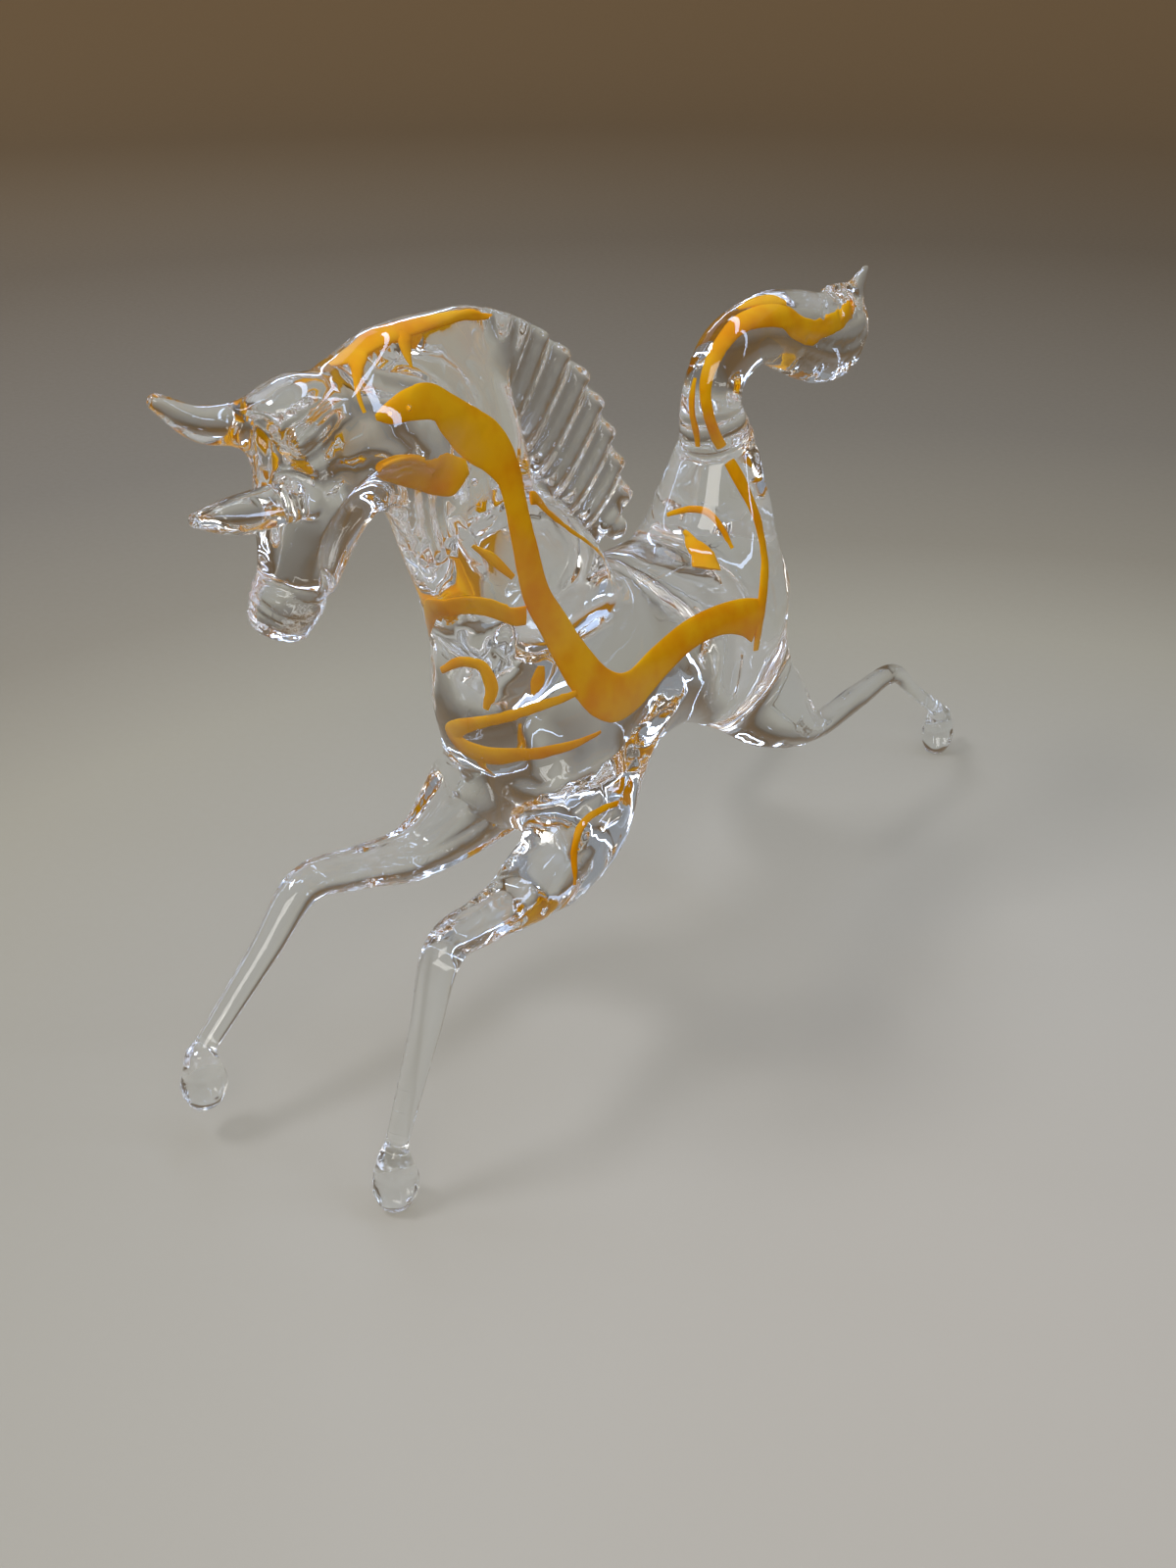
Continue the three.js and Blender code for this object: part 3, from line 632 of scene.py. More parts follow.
def grown(name, points, attributes, tree, **inputs):
    """Plain mesh that a tree grows along a line of points with the given sizes in millimetres."""
    line = bpy.data.meshes.new(name)
    line.from_pydata((points * MM).tolist(), [(i, i + 1) for i in range(len(points) - 1)], [])
    for label, values in attributes.items():
        values = np.asarray(values, float) * MM
        kind, field = ("FLOAT_VECTOR", "vector") if values.ndim == 2 else ("FLOAT", "value")
        line.attributes.new(label, kind, "POINT").data.foreach_set(field, values.ravel())
    holder = bpy.data.objects.new(name, line)
    bpy.context.scene.collection.objects.link(holder)
    modifier = holder.modifiers.new(name, "NODES")
    modifier.node_group = tree
    for socket in tree.interface.items_tree:
        if socket.in_out == "INPUT" and socket.name in inputs:
            modifier[socket.identifier] = inputs[socket.name]
    whole = holder.evaluated_get(bpy.context.evaluated_depsgraph_get())
    mesh = bpy.data.meshes.new_from_object(whole)
    holder.modifiers.clear()
    bpy.data.objects.remove(holder)
    bpy.data.meshes.remove(line)
    mesh.name = name
    return mesh


def mesh_points(mesh):
    """Points in millimetres and triangles of a mesh."""
    points = np.empty(len(mesh.vertices) * 3, np.float32)
    mesh.vertices.foreach_get("co", points)
    mesh.calc_loop_triangles()
    tris = np.empty(len(mesh.loop_triangles) * 3, np.int32)
    mesh.loop_triangles.foreach_get("vertices", tris)
    return points.reshape(-1, 3) / MM, tris.reshape(-1, 3)


def mane_rib_tree():
    """One drawn-out rib on each point, along its reach."""
    tree, given, out = new_tree("mane_ribs", Half="Float", Thickness="Float", Material="Material")
    reach = add_node(tree, "GeometryNodeInputNamedAttribute", {"Name": "reach"}, data_type="FLOAT_VECTOR")
    length = add_node(tree, "ShaderNodeVectorMath", {0: reach.outputs["Attribute"]}, operation="LENGTH")
    # A rib of unit size that starts inside the neck and widens to its tip
    rod = add_node(tree, "GeometryNodeMeshCone", {
        "Vertices": 20, "Side Segments": 6, "Radius Top": 1.0, "Radius Bottom": 0.7, "Depth": 1.25})
    rib = add_node(tree, "GeometryNodeTransform", {
        "Geometry": rod.outputs["Mesh"], "Translation": (0, 0, -0.25)})
    lean = add_node(tree, "FunctionNodeAlignRotationToVector", {
        "Vector": reach.outputs["Attribute"]}, axis="Z")
    turn = add_node(tree, "FunctionNodeAlignRotationToVector", {
        "Rotation": lean.outputs[0], "Vector": (1, 0, 0)}, axis="X", pivot_axis="Z")
    size = add_node(tree, "ShaderNodeCombineXYZ", {
        0: given["Thickness"], 1: given["Half"], 2: length.outputs["Value"]})
    ribs = add_node(tree, "GeometryNodeInstanceOnPoints", {
        "Points": given["Geometry"], "Instance": rib.outputs[0], "Rotation": turn.outputs[0],
        "Scale": size.outputs[0]})
    finish_tree(tree, ribs.outputs[0], given["Material"], out)
    return tree


ribs = grown("mane_ribs", mane_roots + SHIFT, {"reach": mane_tips - mane_roots}, mane_rib_tree(),
             Half=MANE_RIB_HALF * MM, Thickness=MANE_HALF_THICKNESS * MM, Material=CLEAR)
rib_points, rib_tris = mesh_points(ribs)
bpy.data.meshes.remove(ribs)

# Flats paddled on both sides of the crest: place along the neck, degrees round it, depth
NECK_FLATS = ((0.66, 38, 1.1), (0.84, 40, 0.8), (0.66, 142, 1.1), (0.84, 140, 0.8))

# Body, neck and limbs run into each other, then the parts set on them later
horse = Melt(np.array(cad_low) / MM - ROOM, np.array(cad_high) / MM + ROOM)
horse.join(*neck.skin(), fillet=1)
horse.join(*crest.skin(), fillet=5)
for t, degrees, depth in NECK_FLATS:
    horse.flatten(neck, t, degrees, depth)
horse.join(*trunk.skin(), fillet=6)
horse.join(*tail_root.skin(), fillet=5)
for c in corners:
    horse.join(*legs[c].skin(), fillet=5)
horse.join(*arm_web.skin(), fillet=4)
horse.settle(width=0.8)
horse.join(*mane_web.skin(), fillet=1)
first_rib_tris = rib_tris[:len(rib_tris) // MANE_RIBS]
for one_rib in np.split(rib_points, MANE_RIBS):
    horse.join(one_rib, first_rib_tris, fillet=0.7)
horse.join(*mane_knob.skin(), fillet=0.6)
horse.join(*head.skin(), fillet=1.2)
horse.flatten(head, 0.12, 62, depth=0.9)
horse.join(*cheek.skin(), fillet=6)
horse.join(*muzzle.skin(), fillet=0.4)
horse.join(*ear_right.skin(), fillet=3)
horse.join(*ear_left.skin(), fillet=1.5)
horse.join(*tail_plume.skin(), fillet=0.8)
horse.join(*tail_tip.skin(), fillet=1.2)
horse.join(*brow_left.skin(), fillet=0.7)
horse.join(*brow_right.skin(), fillet=0.7)
horse.join(*toe_spike.skin(), fillet=0.8)
for c in corners:
    horse.join(*hooves[c].skin(), fillet=0.8)

# Flutes left by drawing the legs out: where they start along the leg, and their degrees round it
LEG_FLUTES = {
    "fore_left": (0.44, (-40, 5, 50, 95)),
    "fore_right": (0.2, (-40, -5, 30, 65, 100)),
    "hind_left": (0.2, (-60, -20, 20, 60)),
    "hind_right": (0.2, (-60, -20, 20, 60)),
}
for corner, (start, turns) in LEG_FLUTES.items():
    for degrees in turns:
        flute = legs[corner].line((start, degrees - 10), (0.5, degrees), (0.62, degrees + 8), lift=1.1)
        horse.press(flute, radius=1.5)

# Curls folded into the throat, a shallow hollow under them, and long flutes down the right of the neck
for t in (0.54, 0.6, 0.66):
    curl = neck.line((t + 0.06, -34), (t, -48), (t - 0.02, -70), (t + 0.04, -88), lift=1.0)
    horse.press(curl, radius=1.4)
horse.press(neck.line((0.36, -58), (0.52, -58), lift=12.2, count=5), radius=14)
for degrees in (140, 160, 180, 200, 220):
    flute = neck.line((0.36, degrees + 10), (0.65, degrees), (0.96, degrees - 8), lift=1.0)
    horse.press(flute, radius=1.9, fillet=0.8)

# Long folds that run from the flank and the chest down the left arm: places off the chest
FOLDS = (
    ((-7, -9, -8.5), (1.2, -9.9, -8), (8.5, -8.7, -7.6),
     (13.4, -2.3, -6.6), (15.2, 8, -4.6), (15.5, 21, -0.3)),
    ((4, -8.5, -13), (10, -7.4, -11.6), (14.4, -2.7, -9.8), (16, 6, -9.4)),
    ((9, -13, -15.6), (14, -9, -13), (17, -3, -12.4), (17.2, 2, -13)),
    ((18, -15, -20), (18.8, -10.5, -17), (18.4, -6, -15.4)),
)
for stops in FOLDS:
    fold = along(np.array(stops) + CHEST + SHIFT, np.linspace(0, 1, 30))
    horse.press(horse.sink(fold, depth=-1.3), radius=2.1, fillet=0.8)
horse.settle(width=0.4)

# Marks of the tools: bands and crimps of the muzzle
horse.press(muzzle.line((0.03, 0), (0.03, 360), lift=0.2, count=40), radius=0.55)
for top in (0.2, 0.42, 0.64):
    crimp = muzzle.line((top, 115), (top + 0.28, -45), (top, -245), lift=0.2, count=40)
    horse.press(crimp, radius=0.6)
horse.press(muzzle.line((1, 0), (1, 360), lift=0.3, count=30), radius=0.5)

# Brow lines, the eye's hollow and the nicks under it
horse.press(head.line((0.117, 112), (0.02, 98), (0, 82), (0.016, 67), (0.11, 64)), radius=0.65)
horse.press(head.line((0.291, 82), (0.243, 63), (0.205, 47), (0.231, 34)), radius=0.6)
eye = np.array([(-0.8, -48.8, 58.6), (0.4, -48.7, 57.4)]) + CHEST + SHIFT
horse.press(horse.sink(eye, depth=-0.7), radius=1.6)
for degrees in (80, 69, 58, 47):
    horse.press(head.line((0.29, degrees), (0.44, degrees + 1), lift=0.05, count=6), radius=0.6)

# Pinch ring of the tail, the dent in its bend, and the ruffles and flutes of the plume
horse.press(tail_plume.line((0.035, 0), (0.035, 360), lift=0.35, count=40), radius=0.7)
horse.press(tail_plume.line((0.175, -8), (0.2, -10), lift=0.1, count=3), radius=1.5)
for t in (0.6, 0.7, 0.8, 0.9):
    horse.press(tail_plume.line((t, -140), (t + 0.05, -90), (t + 0.02, -35), lift=0.4), radius=1.0)
for t in (0.56, 0.66, 0.76, 0.86):
    horse.press(tail_plume.line((t, 40), (t + 0.02, 90), (t, 130), lift=0.4), radius=1.1)
for start, end in ((-16, -30), (6, 4), (26, 34)):
    horse.press(tail_plume.line((0.55, start), (0.95, end), lift=0.5, count=12), radius=0.8)

# A flat and a dimple on each hoof, and crimps at these places along it
HOOF_CRIMPS = {
    "fore_left": (0.2, 0.3, 0.4, 0.5),
    "fore_right": (0.3, 0.42),
    "hind_left": (0.25, 0.45),
    "hind_right": (0.25, 0.45),
}
for corner, crimps in HOOF_CRIMPS.items():
    horse.flatten(hooves[corner], 0.6, 70, depth=0.4)
    horse.press(hooves[corner].line((0.42, 5), (0.68, 0), lift=0.9, count=4), radius=1.7)
    for t in crimps:
        horse.press(hooves[corner].line((t, 30), (t + 0.04, 135), lift=0.2, count=10), radius=0.45)


def new_piece(name, mesh, nodes):
    """Piece of the one body, in place of those CAD nodes."""
    piece = bpy.data.objects.new(name, mesh)
    bpy.context.scene.collection.objects.link(piece)
    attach(piece, "root")
    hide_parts(*nodes)
    return piece


def new_mesh(name, points, faces, material):
    """Smooth mesh of points in millimetres."""
    mesh = bpy.data.meshes.new(name)
    mesh.from_pydata((np.asarray(points) * MM).tolist(), [], faces)
    mesh.polygons.foreach_set("use_smooth", [True] * len(mesh.polygons))
    mesh.materials.append(material)
    mesh.update()
    return mesh


# One skin of clear glass in place of all the clear nodes, with normals from the grid's slope
clear_nodes = [s["node"] for s in frame["record"]["subparts"] if s["material_slot"] == "clear_glass"]
points, faces = horse.skin()
skin_mesh = new_mesh("horse_glass", points, faces, CLEAR)
skin_mesh.normals_split_custom_set_from_vertices(unit(horse.slope(points)).tolist())
skin = new_piece("horse_glass", skin_mesh, clear_nodes)


# Ribbons: glass over them, their thickness, sides of a section and steps between two stops
RIBBON_COVER = 0.5
RIBBON_THICKNESS = 1.0
RIBBON_SIDES = 24
RIBBON_STEPS = 10
# Radius of the ring that is swept along the line and then drawn out to the ribbon
RIBBON_RING = 0.1


def ribbon_tree():
    """Flat oval ribbon along the line, laid under the skin at an even depth.

    The line is swept with a thin ring. Each point of that tube knows its place on the line, the
    line's way there and its own turn round the ring, and moves from them to its place in the glass.
    """
    tree, given, out = new_tree("amber_ribbon", Skin="Object", Cover="Float", Thickness="Float",
                                Material="Material")
    body = add_node(tree, "GeometryNodeObjectInfo", {"Object": given["Skin"]})
    position = add_node(tree, "GeometryNodeInputPosition")
    normal = add_node(tree, "GeometryNodeInputNormal")
    tangent = add_node(tree, "GeometryNodeInputTangent")

    line = add_node(tree, "GeometryNodeMeshToCurve", {"Mesh": given["Geometry"]})
    for name, value in (("centre", position), ("way", tangent)):
        line = add_node(tree, "GeometryNodeStoreNamedAttribute", {
            "Geometry": line.outputs[0], "Name": name, "Value": value.outputs[0]},
            data_type="FLOAT_VECTOR", domain="POINT")
    ring = add_node(tree, "GeometryNodeCurvePrimitiveCircle", {
        "Resolution": RIBBON_SIDES, "Radius": RIBBON_RING * MM})
    share = add_node(tree, "GeometryNodeSplineParameter")
    angle = add_node(tree, "ShaderNodeMath", {0: share.outputs["Factor"], 1: 2 * math.pi},
                     operation="MULTIPLY")
    ring = add_node(tree, "GeometryNodeStoreNamedAttribute", {
        "Geometry": ring.outputs["Curve"], "Name": "turn", "Value": angle.outputs[0]},
        data_type="FLOAT", domain="POINT")
    tube = add_node(tree, "GeometryNodeCurveToMesh", {
        "Curve": line.outputs[0], "Profile Curve": ring.outputs[0], "Fill Caps": True})

    known = {}
    for kind, names in (("FLOAT_VECTOR", ("centre", "way")), ("FLOAT", ("half", "turn"))):
        for name in names:
            stored = add_node(tree, "GeometryNodeInputNamedAttribute", {"Name": name}, data_type=kind)
            known[name] = stored.outputs["Attribute"]

    # Straight out from the line, across the ribbon and along the skin
    above = add_node(tree, "GeometryNodeSampleNearestSurface", {
        "Mesh": body.outputs["Geometry"], "Value": normal.outputs[0], "Sample Position": known["centre"]},
        data_type="FLOAT_VECTOR")
    cross = add_node(tree, "ShaderNodeVectorMath", {0: above.outputs["Value"], 1: known["way"]},
                     operation="CROSS_PRODUCT")
    across = add_node(tree, "ShaderNodeVectorMath", {0: cross.outputs["Vector"]}, operation="NORMALIZE")
    cosine = add_node(tree, "ShaderNodeMath", {0: known["turn"]}, operation="COSINE")
    reach = add_node(tree, "ShaderNodeMath", {0: known["half"], 1: cosine.outputs[0]}, operation="MULTIPLY")
    aside = add_node(tree, "ShaderNodeVectorMath", {0: across.outputs["Vector"], "Scale": reach.outputs[0]},
                     operation="SCALE")
    spot = add_node(tree, "ShaderNodeVectorMath", {0: known["centre"], 1: aside.outputs["Vector"]},
                    operation="ADD")

    # Down from the skin by the cover, and by up to the thickness on the ribbon's inner face
    sine = add_node(tree, "ShaderNodeMath", {0: known["turn"]}, operation="SINE")
    inner = add_node(tree, "ShaderNodeMath", {0: sine.outputs[0], 1: -0.5, 2: 0.5},
                     operation="MULTIPLY_ADD")
    thick = add_node(tree, "ShaderNodeMath", {0: known["half"], 1: given["Thickness"]}, operation="MINIMUM")
    depth = add_node(tree, "ShaderNodeMath", {0: inner.outputs[0], 1: thick.outputs[0], 2: given["Cover"]},
                     operation="MULTIPLY_ADD")
    skin_place = add_node(tree, "GeometryNodeSampleNearestSurface", {
        "Mesh": body.outputs["Geometry"], "Value": position.outputs[0], "Sample Position": spot.outputs[0]},
        data_type="FLOAT_VECTOR")
    skin_normal = add_node(tree, "GeometryNodeSampleNearestSurface", {
        "Mesh": body.outputs["Geometry"], "Value": normal.outputs[0], "Sample Position": spot.outputs[0]},
        data_type="FLOAT_VECTOR")
    inset = add_node(tree, "ShaderNodeVectorMath", {
        0: skin_normal.outputs["Value"], "Scale": depth.outputs[0]}, operation="SCALE")
    laid = add_node(tree, "ShaderNodeVectorMath", {
        0: skin_place.outputs["Value"], 1: inset.outputs["Vector"]}, operation="SUBTRACT")
    strip = add_node(tree, "GeometryNodeSetPosition", {
        "Geometry": tube.outputs[0], "Position": laid.outputs["Vector"]})
    finish_tree(tree, strip.outputs[0], given["Material"], out)
    return tree


RIBBON = ribbon_tree()


def on(part, *rows):
    """Ribbon stops from rows of (place along a part, degrees round it, half width)."""
    t, degrees, half = np.array(rows, float).T
    return np.column_stack([part.surface(t, degrees)[0], half])


def off(centre, *rows):
    """Ribbon stops from rows of (x, y, z off a centre, half width)."""
    rows = np.array(rows, float)
    return np.column_stack([rows[:, :3] + centre + SHIFT, rows[:, 3]])


def ribbon(name, nodes, *runs):
    """Amber ribbon through runs of stops, in place of those CAD nodes."""
    stops = np.vstack(runs)
    t = np.linspace(0, 1, (len(stops) - 1) * RIBBON_STEPS + 1)
    mesh = grown(name, along(stops[:, :3], t), {"half": along(stops[:, 3:], t, even=True)[:, 0]}, RIBBON,
                 Skin=skin, Cover=RIBBON_COVER * MM, Thickness=RIBBON_THICKNESS * MM, Material=AMBER)
    new_piece(name, mesh, nodes)


ribbon("amber_main_left", ["ribbon_neck_left", "ribbon_flank_left"],
       on(neck, (0.93, 28, 0.4), (0.893, 24, 1.5), (0.83, 21, 2.3), (0.76, 18, 2.6), (0.695, 8, 3.2),
          (0.593, 5, 3.8), (0.552, 11, 3.7), (0.503, 16, 3), (0.463, 13, 2.6), (0.41, 5, 2.5)),
       off(CHEST, (11.1, -8.7, 26.1, 2.5), (11.9, -5.5, 19.8, 2.7), (12.6, -1.3, 11.6, 3.3),
           (14, 1.3, 7.4, 3.8), (15, 5.2, 4.6, 4), (15.2, 9.5, 4.2, 3.7), (15, 16.6, 6.2, 3),
           (14.6, 26.2, 7.9, 2.6), (14.6, 35.7, 7.4, 2.7), (15.2, 42.2, 5.7, 3.4), (15.5, 45.4, 4, 4)))
ribbon("amber_chest_upper", ["ribbon_chest_upper"],
       on(neck, (0.305, -27, 1.6), (0.325, -41, 1.6), (0.345, -56, 1.6), (0.355, -78, 1.6),
          (0.348, -101, 1.6), (0.31, -116, 1.3), (0.26, -126, 0.4)))
ribbon("amber_chest_lower", ["ribbon_chest_lower"],
       off(CHEST, (13.1, -3.1, 8.3, 0.5), (9.6, -9.5, 7.1, 0.9), (4, -12.5, 4.6, 1),
           (-2.8, -12, 0.8, 1.5), (-5.2, -11, -2, 1.9), (-2, -11.2, -3.2, 2.1), (2.6, -11.2, -2.9, 1.9),
           (8.2, -10.5, -1.3, 1.3), (13.7, -3.9, -0.4, 0.8), (15.1, 1, 0.4, 0.3)))
ribbon("amber_chest_swirl", [],
       off(CHEST, (-4, -14.1, 11.2, 0.5), (0.9, -15.2, 14.3, 0.9), (4.3, -14.6, 14.2, 1),
           (5.4, -13.6, 11, 1.1), (4, -12.7, 6.9, 0.5)))
ribbon("amber_chest_patch", [],
       off(CHEST, (10.9, -8.2, 14, 0.6), (10.4, -8.6, 11.5, 1.1), (9.7, -9.2, 9.5, 0.3)))
ribbon("amber_throat", ["ribbon_throat"],
       off(CHEST, (7.9, -36, 51.4, 1), (7.6, -33, 49.8, 2.8), (6.9, -29.2, 47.8, 4.2), (6.6, -25.2, 47, 4),
           (6.6, -21.8, 46.9, 3.3), (7, -18.6, 47.4, 1.2)))
ribbon("amber_throat_strand", [],
       off(CHEST, (7.6, -19.4, 35.4, 0.4), (8.9, -16.7, 33.7, 0.9), (10.1, -12.9, 29.7, 0.5)))
ribbon("amber_crest", ["ribbon_crest"],
       on(neck, (0.905, 98, 0.6), (0.87, 92, 1.9)),
       on(crest, (0.05, -74, 2), (0.3, -68, 1.5), (0.5, -64, 1.3), (0.62, -56, 1.2), (0.68, -48, 0.5)))
ribbon("amber_funnel", [],
       on(neck, (0.86, 88, 1.7), (0.87, 80, 1.5), (0.89, 69, 0.8), (0.925, 54, 0.4), (0.94, 45, 0.35),
          (0.95, 36, 0.3)))
ribbon("amber_crest_drop", [],
       on(neck, (0.785, 80, 1.3), (0.797, 66, 1), (0.802, 54, 0.6), (0.802, 46, 0.2)))
ribbon("amber_mane_strand", [],
       on(neck, (0.44, 30, 1), (0.422, 39, 1), (0.378, 42, 0.8), (0.34, 43, 0.6), (0.305, 43, 0.5),
          (0.25, 46, 0.4), (0.21, 50, 0.5)))
ribbon("amber_rump", ["ribbon_rump"],
       off(RUMP, (15.8, -6.1, -1.5, 0.8), (15.5, -4.8, 4, 1.3), (13.9, -2, 8.6, 1.2), (11.9, 0.6, 12.8, 1),
           (10.7, 1.2, 17.8, 1), (9.4, 0.2, 22.9, 1.1), (7.8, -1.1, 26.8, 1.3), (5.9, -2.2, 30.2, 1.1)))
ribbon("amber_rump_patch", [],
       off(RUMP, (2.2, -9.7, 18.7, 0.3), (4.9, -10.2, 16.3, 1.5), (7.4, -11.4, 15.2, 2.5),
           (9, -12.5, 14.6, 2.9)))
ribbon("amber_rump_arc", [],
       off(RUMP, (-2.3, -9.1, 20.5, 0.4), (2.3, -8.3, 22.4, 0.6), (5.1, -7.3, 22.1, 0.6),
           (7.6, -6.2, 19.3, 0.5), (9, -5.6, 15.8, 0.4)))
ribbon("amber_tail", ["ribbon_tail"],
       on(tail_plume, (0.05, -42, 1.1), (0.08, -47, 1.1), (0.118, -54, 1.1), (0.155, -66, 1.2),
          (0.193, -72, 1.4), (0.235, -71, 1.6), (0.28, -67, 1.8), (0.325, -62, 2.2), (0.37, -48, 2.5),
          (0.415, -34, 2.6), (0.443, -22, 2.5), (0.485, -8, 2.4), (0.578, -4, 2.3), (0.633, -17, 2),
          (0.72, -31, 1.8), (0.84, -45, 1.4), (0.93, -55, 0.5)))
ribbon("amber_tail_bend", [],
       off(RUMP, (-0.4, 7.4, 53.6, 0.6), (0.2, 10.3, 54.1, 1.4), (1.7, 14.5, 54.2, 1.8),
           (2.9, 17.5, 52.6, 0.6)))
ribbon("amber_tail_strand", [],
       on(tail_plume, (0.06, -84, 0.5), (0.095, -86, 0.7), (0.12, -93, 0.7), (0.15, -99, 0.7),
          (0.188, -100, 0.4)))
ribbon("amber_web_thread", [],
       off(CHEST, (17.7, 2.4, -12.4, 0.4), (17.6, -1.3, -12, 0.5), (17, -4.4, -12.4, 0.6),
           (17.2, -6.9, -13.6, 0.7), (18.8, -9.6, -16.5, 0.6), (19.6, -10.9, -20.8, 0.4)))


def bubble_tree():
    """One round bubble on each point, of that point's radius."""
    tree, given, out = new_tree("air_bubbles", Material="Material")
    radius = add_node(tree, "GeometryNodeInputNamedAttribute", {"Name": "radius"}, data_type="FLOAT")
    bead = add_node(tree, "GeometryNodeMeshIcoSphere", {"Radius": 1.0, "Subdivisions": 4})
    beads = add_node(tree, "GeometryNodeInstanceOnPoints", {
        "Points": given["Geometry"], "Instance": bead.outputs["Mesh"],
        "Scale": radius.outputs["Attribute"]})
    finish_tree(tree, beads.outputs[0], given["Material"], out)
    return tree


# Seed bubbles: place along the neck, degrees round it, radius, and the glass over each
BUBBLES = np.array([[0.891, 24, 0.5], [0.841, 20, 0.5], [0.531, -14, 0.6]])
BUBBLE_COVER = 0.25
place, degrees, radius = BUBBLES.T
spots = horse.sink(neck.surface(place, degrees)[0], radius + BUBBLE_COVER)
bubbles = grown("air_bubbles", spots, {"radius": radius}, bubble_tree(), Material=AIR)
new_piece("air_bubbles", bubbles, [])


# Stage: pale table that bends up all round into a wall, in millimetres
TABLE_FLAT = 1000
TABLE_BEND = 400
TABLE_TOP = 900
TABLE_SIDES = 96

# Painted light and shade on the table: its colours from a painted pool of light round the horse out to the
# top of the wall, in metres and shares of the way
LIGHT_POOL_MIDDLE = (0.107, -0.043, 0)
LIGHT_FALLOFF_REACH = 1.66
TABLE_PAINTED_LIGHT = (
    (0.0, "#b3a998"), (0.06, "#afa695"), (0.1, "#a49b89"), (0.14, "#9e947e"), (0.18, "#8a7f6a"),
    (0.25, "#7a6f5d"), (0.44, "#6f5f49"), (0.85, "#967851"), (1.0, "#c6baa9"),
)


def table_material():
    # Matt emulsion paint in warm grey, with light and shade painted into its colour. A painted pool of
    # light round the object darkens away from it as painted shade, and painted light pales it again up the
    # wall. Its grit breaks the last of the sheen.
    grit = 2 * MM
    material, tree, out = new_material("matt_paint_and_painted_light")
    place = add_node(tree, "ShaderNodeTexCoord")
    shift = add_node(tree, "ShaderNodeVectorMath", {0: place.outputs["Object"], 1: LIGHT_POOL_MIDDLE},
                     operation="SUBTRACT")
    length = add_node(tree, "ShaderNodeVectorMath", {0: shift.outputs[0]}, operation="LENGTH")
    far = add_node(tree, "ShaderNodeMapRange", {"Value": length.outputs["Value"], "From Max": LIGHT_FALLOFF_REACH})
    # Painted light and shade: the colour is palest near the horse, darkens with distance and pales again up
    # the wall
    ramp = add_node(tree, "ShaderNodeValToRGB", {"Fac": far.outputs["Result"]})
    elements = ramp.color_ramp.elements
    for stop, (spot, code) in zip((elements[0], elements[1]), (TABLE_PAINTED_LIGHT[0], TABLE_PAINTED_LIGHT[-1])):
        stop.position, stop.color = spot, (*hex_colour(code), 1)
    for spot, code in TABLE_PAINTED_LIGHT[1:-1]:
        elements.new(spot).color = (*hex_colour(code), 1)
    grain = add_node(tree, "ShaderNodeTexNoise", {"Vector": place.outputs["Object"], "Scale": 1 / grit})
    rough = add_node(tree, "ShaderNodeMapRange", {
        "Value": grain.outputs["Fac"], "To Min": 0.6, "To Max": 0.8})
    body = add_node(tree, "ShaderNodeBsdfPrincipled", {
        "Base Color": ramp.outputs["Color"], "Roughness": rough.outputs["Result"],
        "Specular IOR Level": 0.2})
    tree.links.new(body.outputs[0], out.inputs["Surface"])
    return material


def table():
    """Round table top and the wall that it bends up into."""
    rows = [(r, 0.0) for r in (1e-4, 100, 200, 400, 600, 800, TABLE_FLAT)]
    for a in np.radians(range(10, 91, 10)):
        rows.append((TABLE_FLAT + TABLE_BEND * math.sin(a), TABLE_BEND * (1 - math.cos(a))))
    rows.append((TABLE_FLAT + TABLE_BEND, TABLE_TOP))
    turns = np.linspace(0, 2 * np.pi, TABLE_SIDES, endpoint=False)
    points = [(r * math.cos(a), r * math.sin(a), z) for r, z in rows for a in turns]
    faces = []
    for i in range(len(rows) - 1):
        inner, outer = i * TABLE_SIDES, (i + 1) * TABLE_SIDES
        for k in range(TABLE_SIDES):
            n = (k + 1) % TABLE_SIDES
            faces.append((inner + k, outer + k, outer + n, inner + n))
    sweep = bpy.data.objects.new("table_sweep", new_mesh("table_sweep", points, faces, table_material()))
    bpy.context.scene.collection.objects.link(sweep)


table()


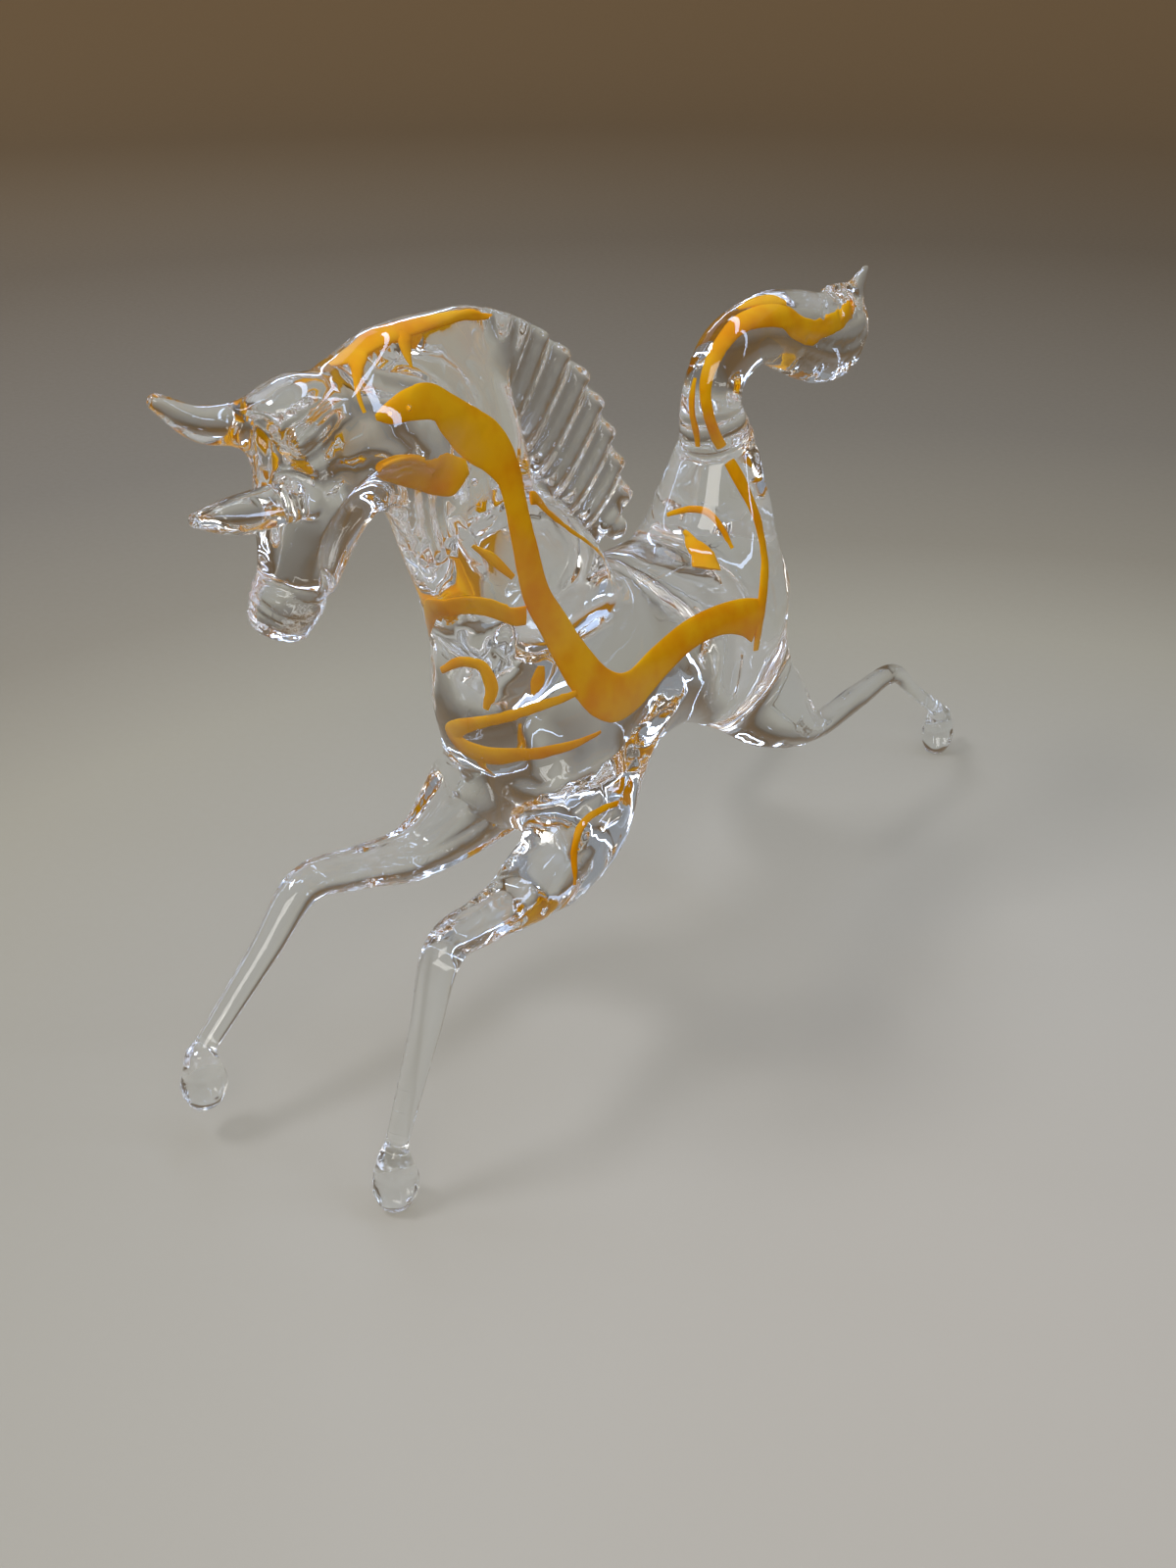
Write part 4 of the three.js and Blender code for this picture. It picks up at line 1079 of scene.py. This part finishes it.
def lamp(name, place, aim, size, power, colour):
    """Soft rectangular lamp: places and sizes in metres, power in watts."""
    data = bpy.data.lights.new(name, "AREA")
    data.shape = "RECTANGLE"
    data.size, data.size_y = size
    data.energy = power
    data.color = hex_colour(colour)
    thing = bpy.data.objects.new(name, data)
    thing.location = place
    thing.rotation_euler = (Vector(aim) - Vector(place)).to_track_quat("-Z", "Y").to_euler()
    bpy.context.scene.collection.objects.link(thing)


lamp("lamp_key", (-0.36, -0.44, 0.95), (0, 0, 0.05), (0.28, 0.18), 6.2, "#eaf1ff")
lamp("lamp_fill", (0.5, -0.65, 0.6), (0, 0, 0.06), (0.5, 0.3), 2.8, "#fdf9f2")
lamp("lamp_window", (-0.9, 0.15, 0.75), (0, 0, 0.06), (0.8, 0.5), 1, "#bcd4ff")
lamp("lamp_over", (0.05, 0.3, 0.9), (0, 0, 0.05), (0.9, 0.1), 3.5, "#c9dcff")
lamp("lamp_rim", (-0.6, 0.45, 0.45), (0, 0, 0.06), (0.4, 0.06), 1, "#c3d9ff")
lamp("lamp_strip_left", (-0.75, -0.3, 0.45), (0, 0, 0.05), (0.05, 0.8), 1, "#c9dcff")
lamp("lamp_strip_right", (0.7, 0.45, 0.5), (0, 0, 0.05), (0.05, 0.8), 1.6, "#c9dcff")

# Even light from all round
world = bpy.data.worlds.new("studio_air")
bpy.context.scene.world = world
world.use_nodes = True
studio_air = world.node_tree.nodes["Background"].inputs
studio_air["Color"].default_value = (*hex_colour("#e6ebf3"), 1)
studio_air["Strength"].default_value = 0.31

# Camera at the photograph's place and angle, in metres
CAMERA_PLACE = Vector(SHIFT * MM) + Vector((0.1608, -0.2082, 0.185))
CAMERA_WAY = Vector((-0.5405, 0.6795, -0.4960))
CAMERA_LENS = 38.25
camera = bpy.data.cameras.new("camera")
camera.lens = CAMERA_LENS
camera.sensor_width = 36
camera.clip_start = 0.01
camera_piece = bpy.data.objects.new("camera", camera)
camera_piece.location = CAMERA_PLACE
camera_piece.rotation_euler = CAMERA_WAY.to_track_quat("-Z", "Y").to_euler()
bpy.context.scene.collection.objects.link(camera_piece)
bpy.context.scene.camera = camera_piece
bpy.context.scene.view_settings.view_transform = "Standard"

# Walls of glass that light may cross before it is lost
WALLS = 40
cycles = bpy.context.scene.cycles
cycles.max_bounces = cycles.glossy_bounces = cycles.transmission_bounces = WALLS
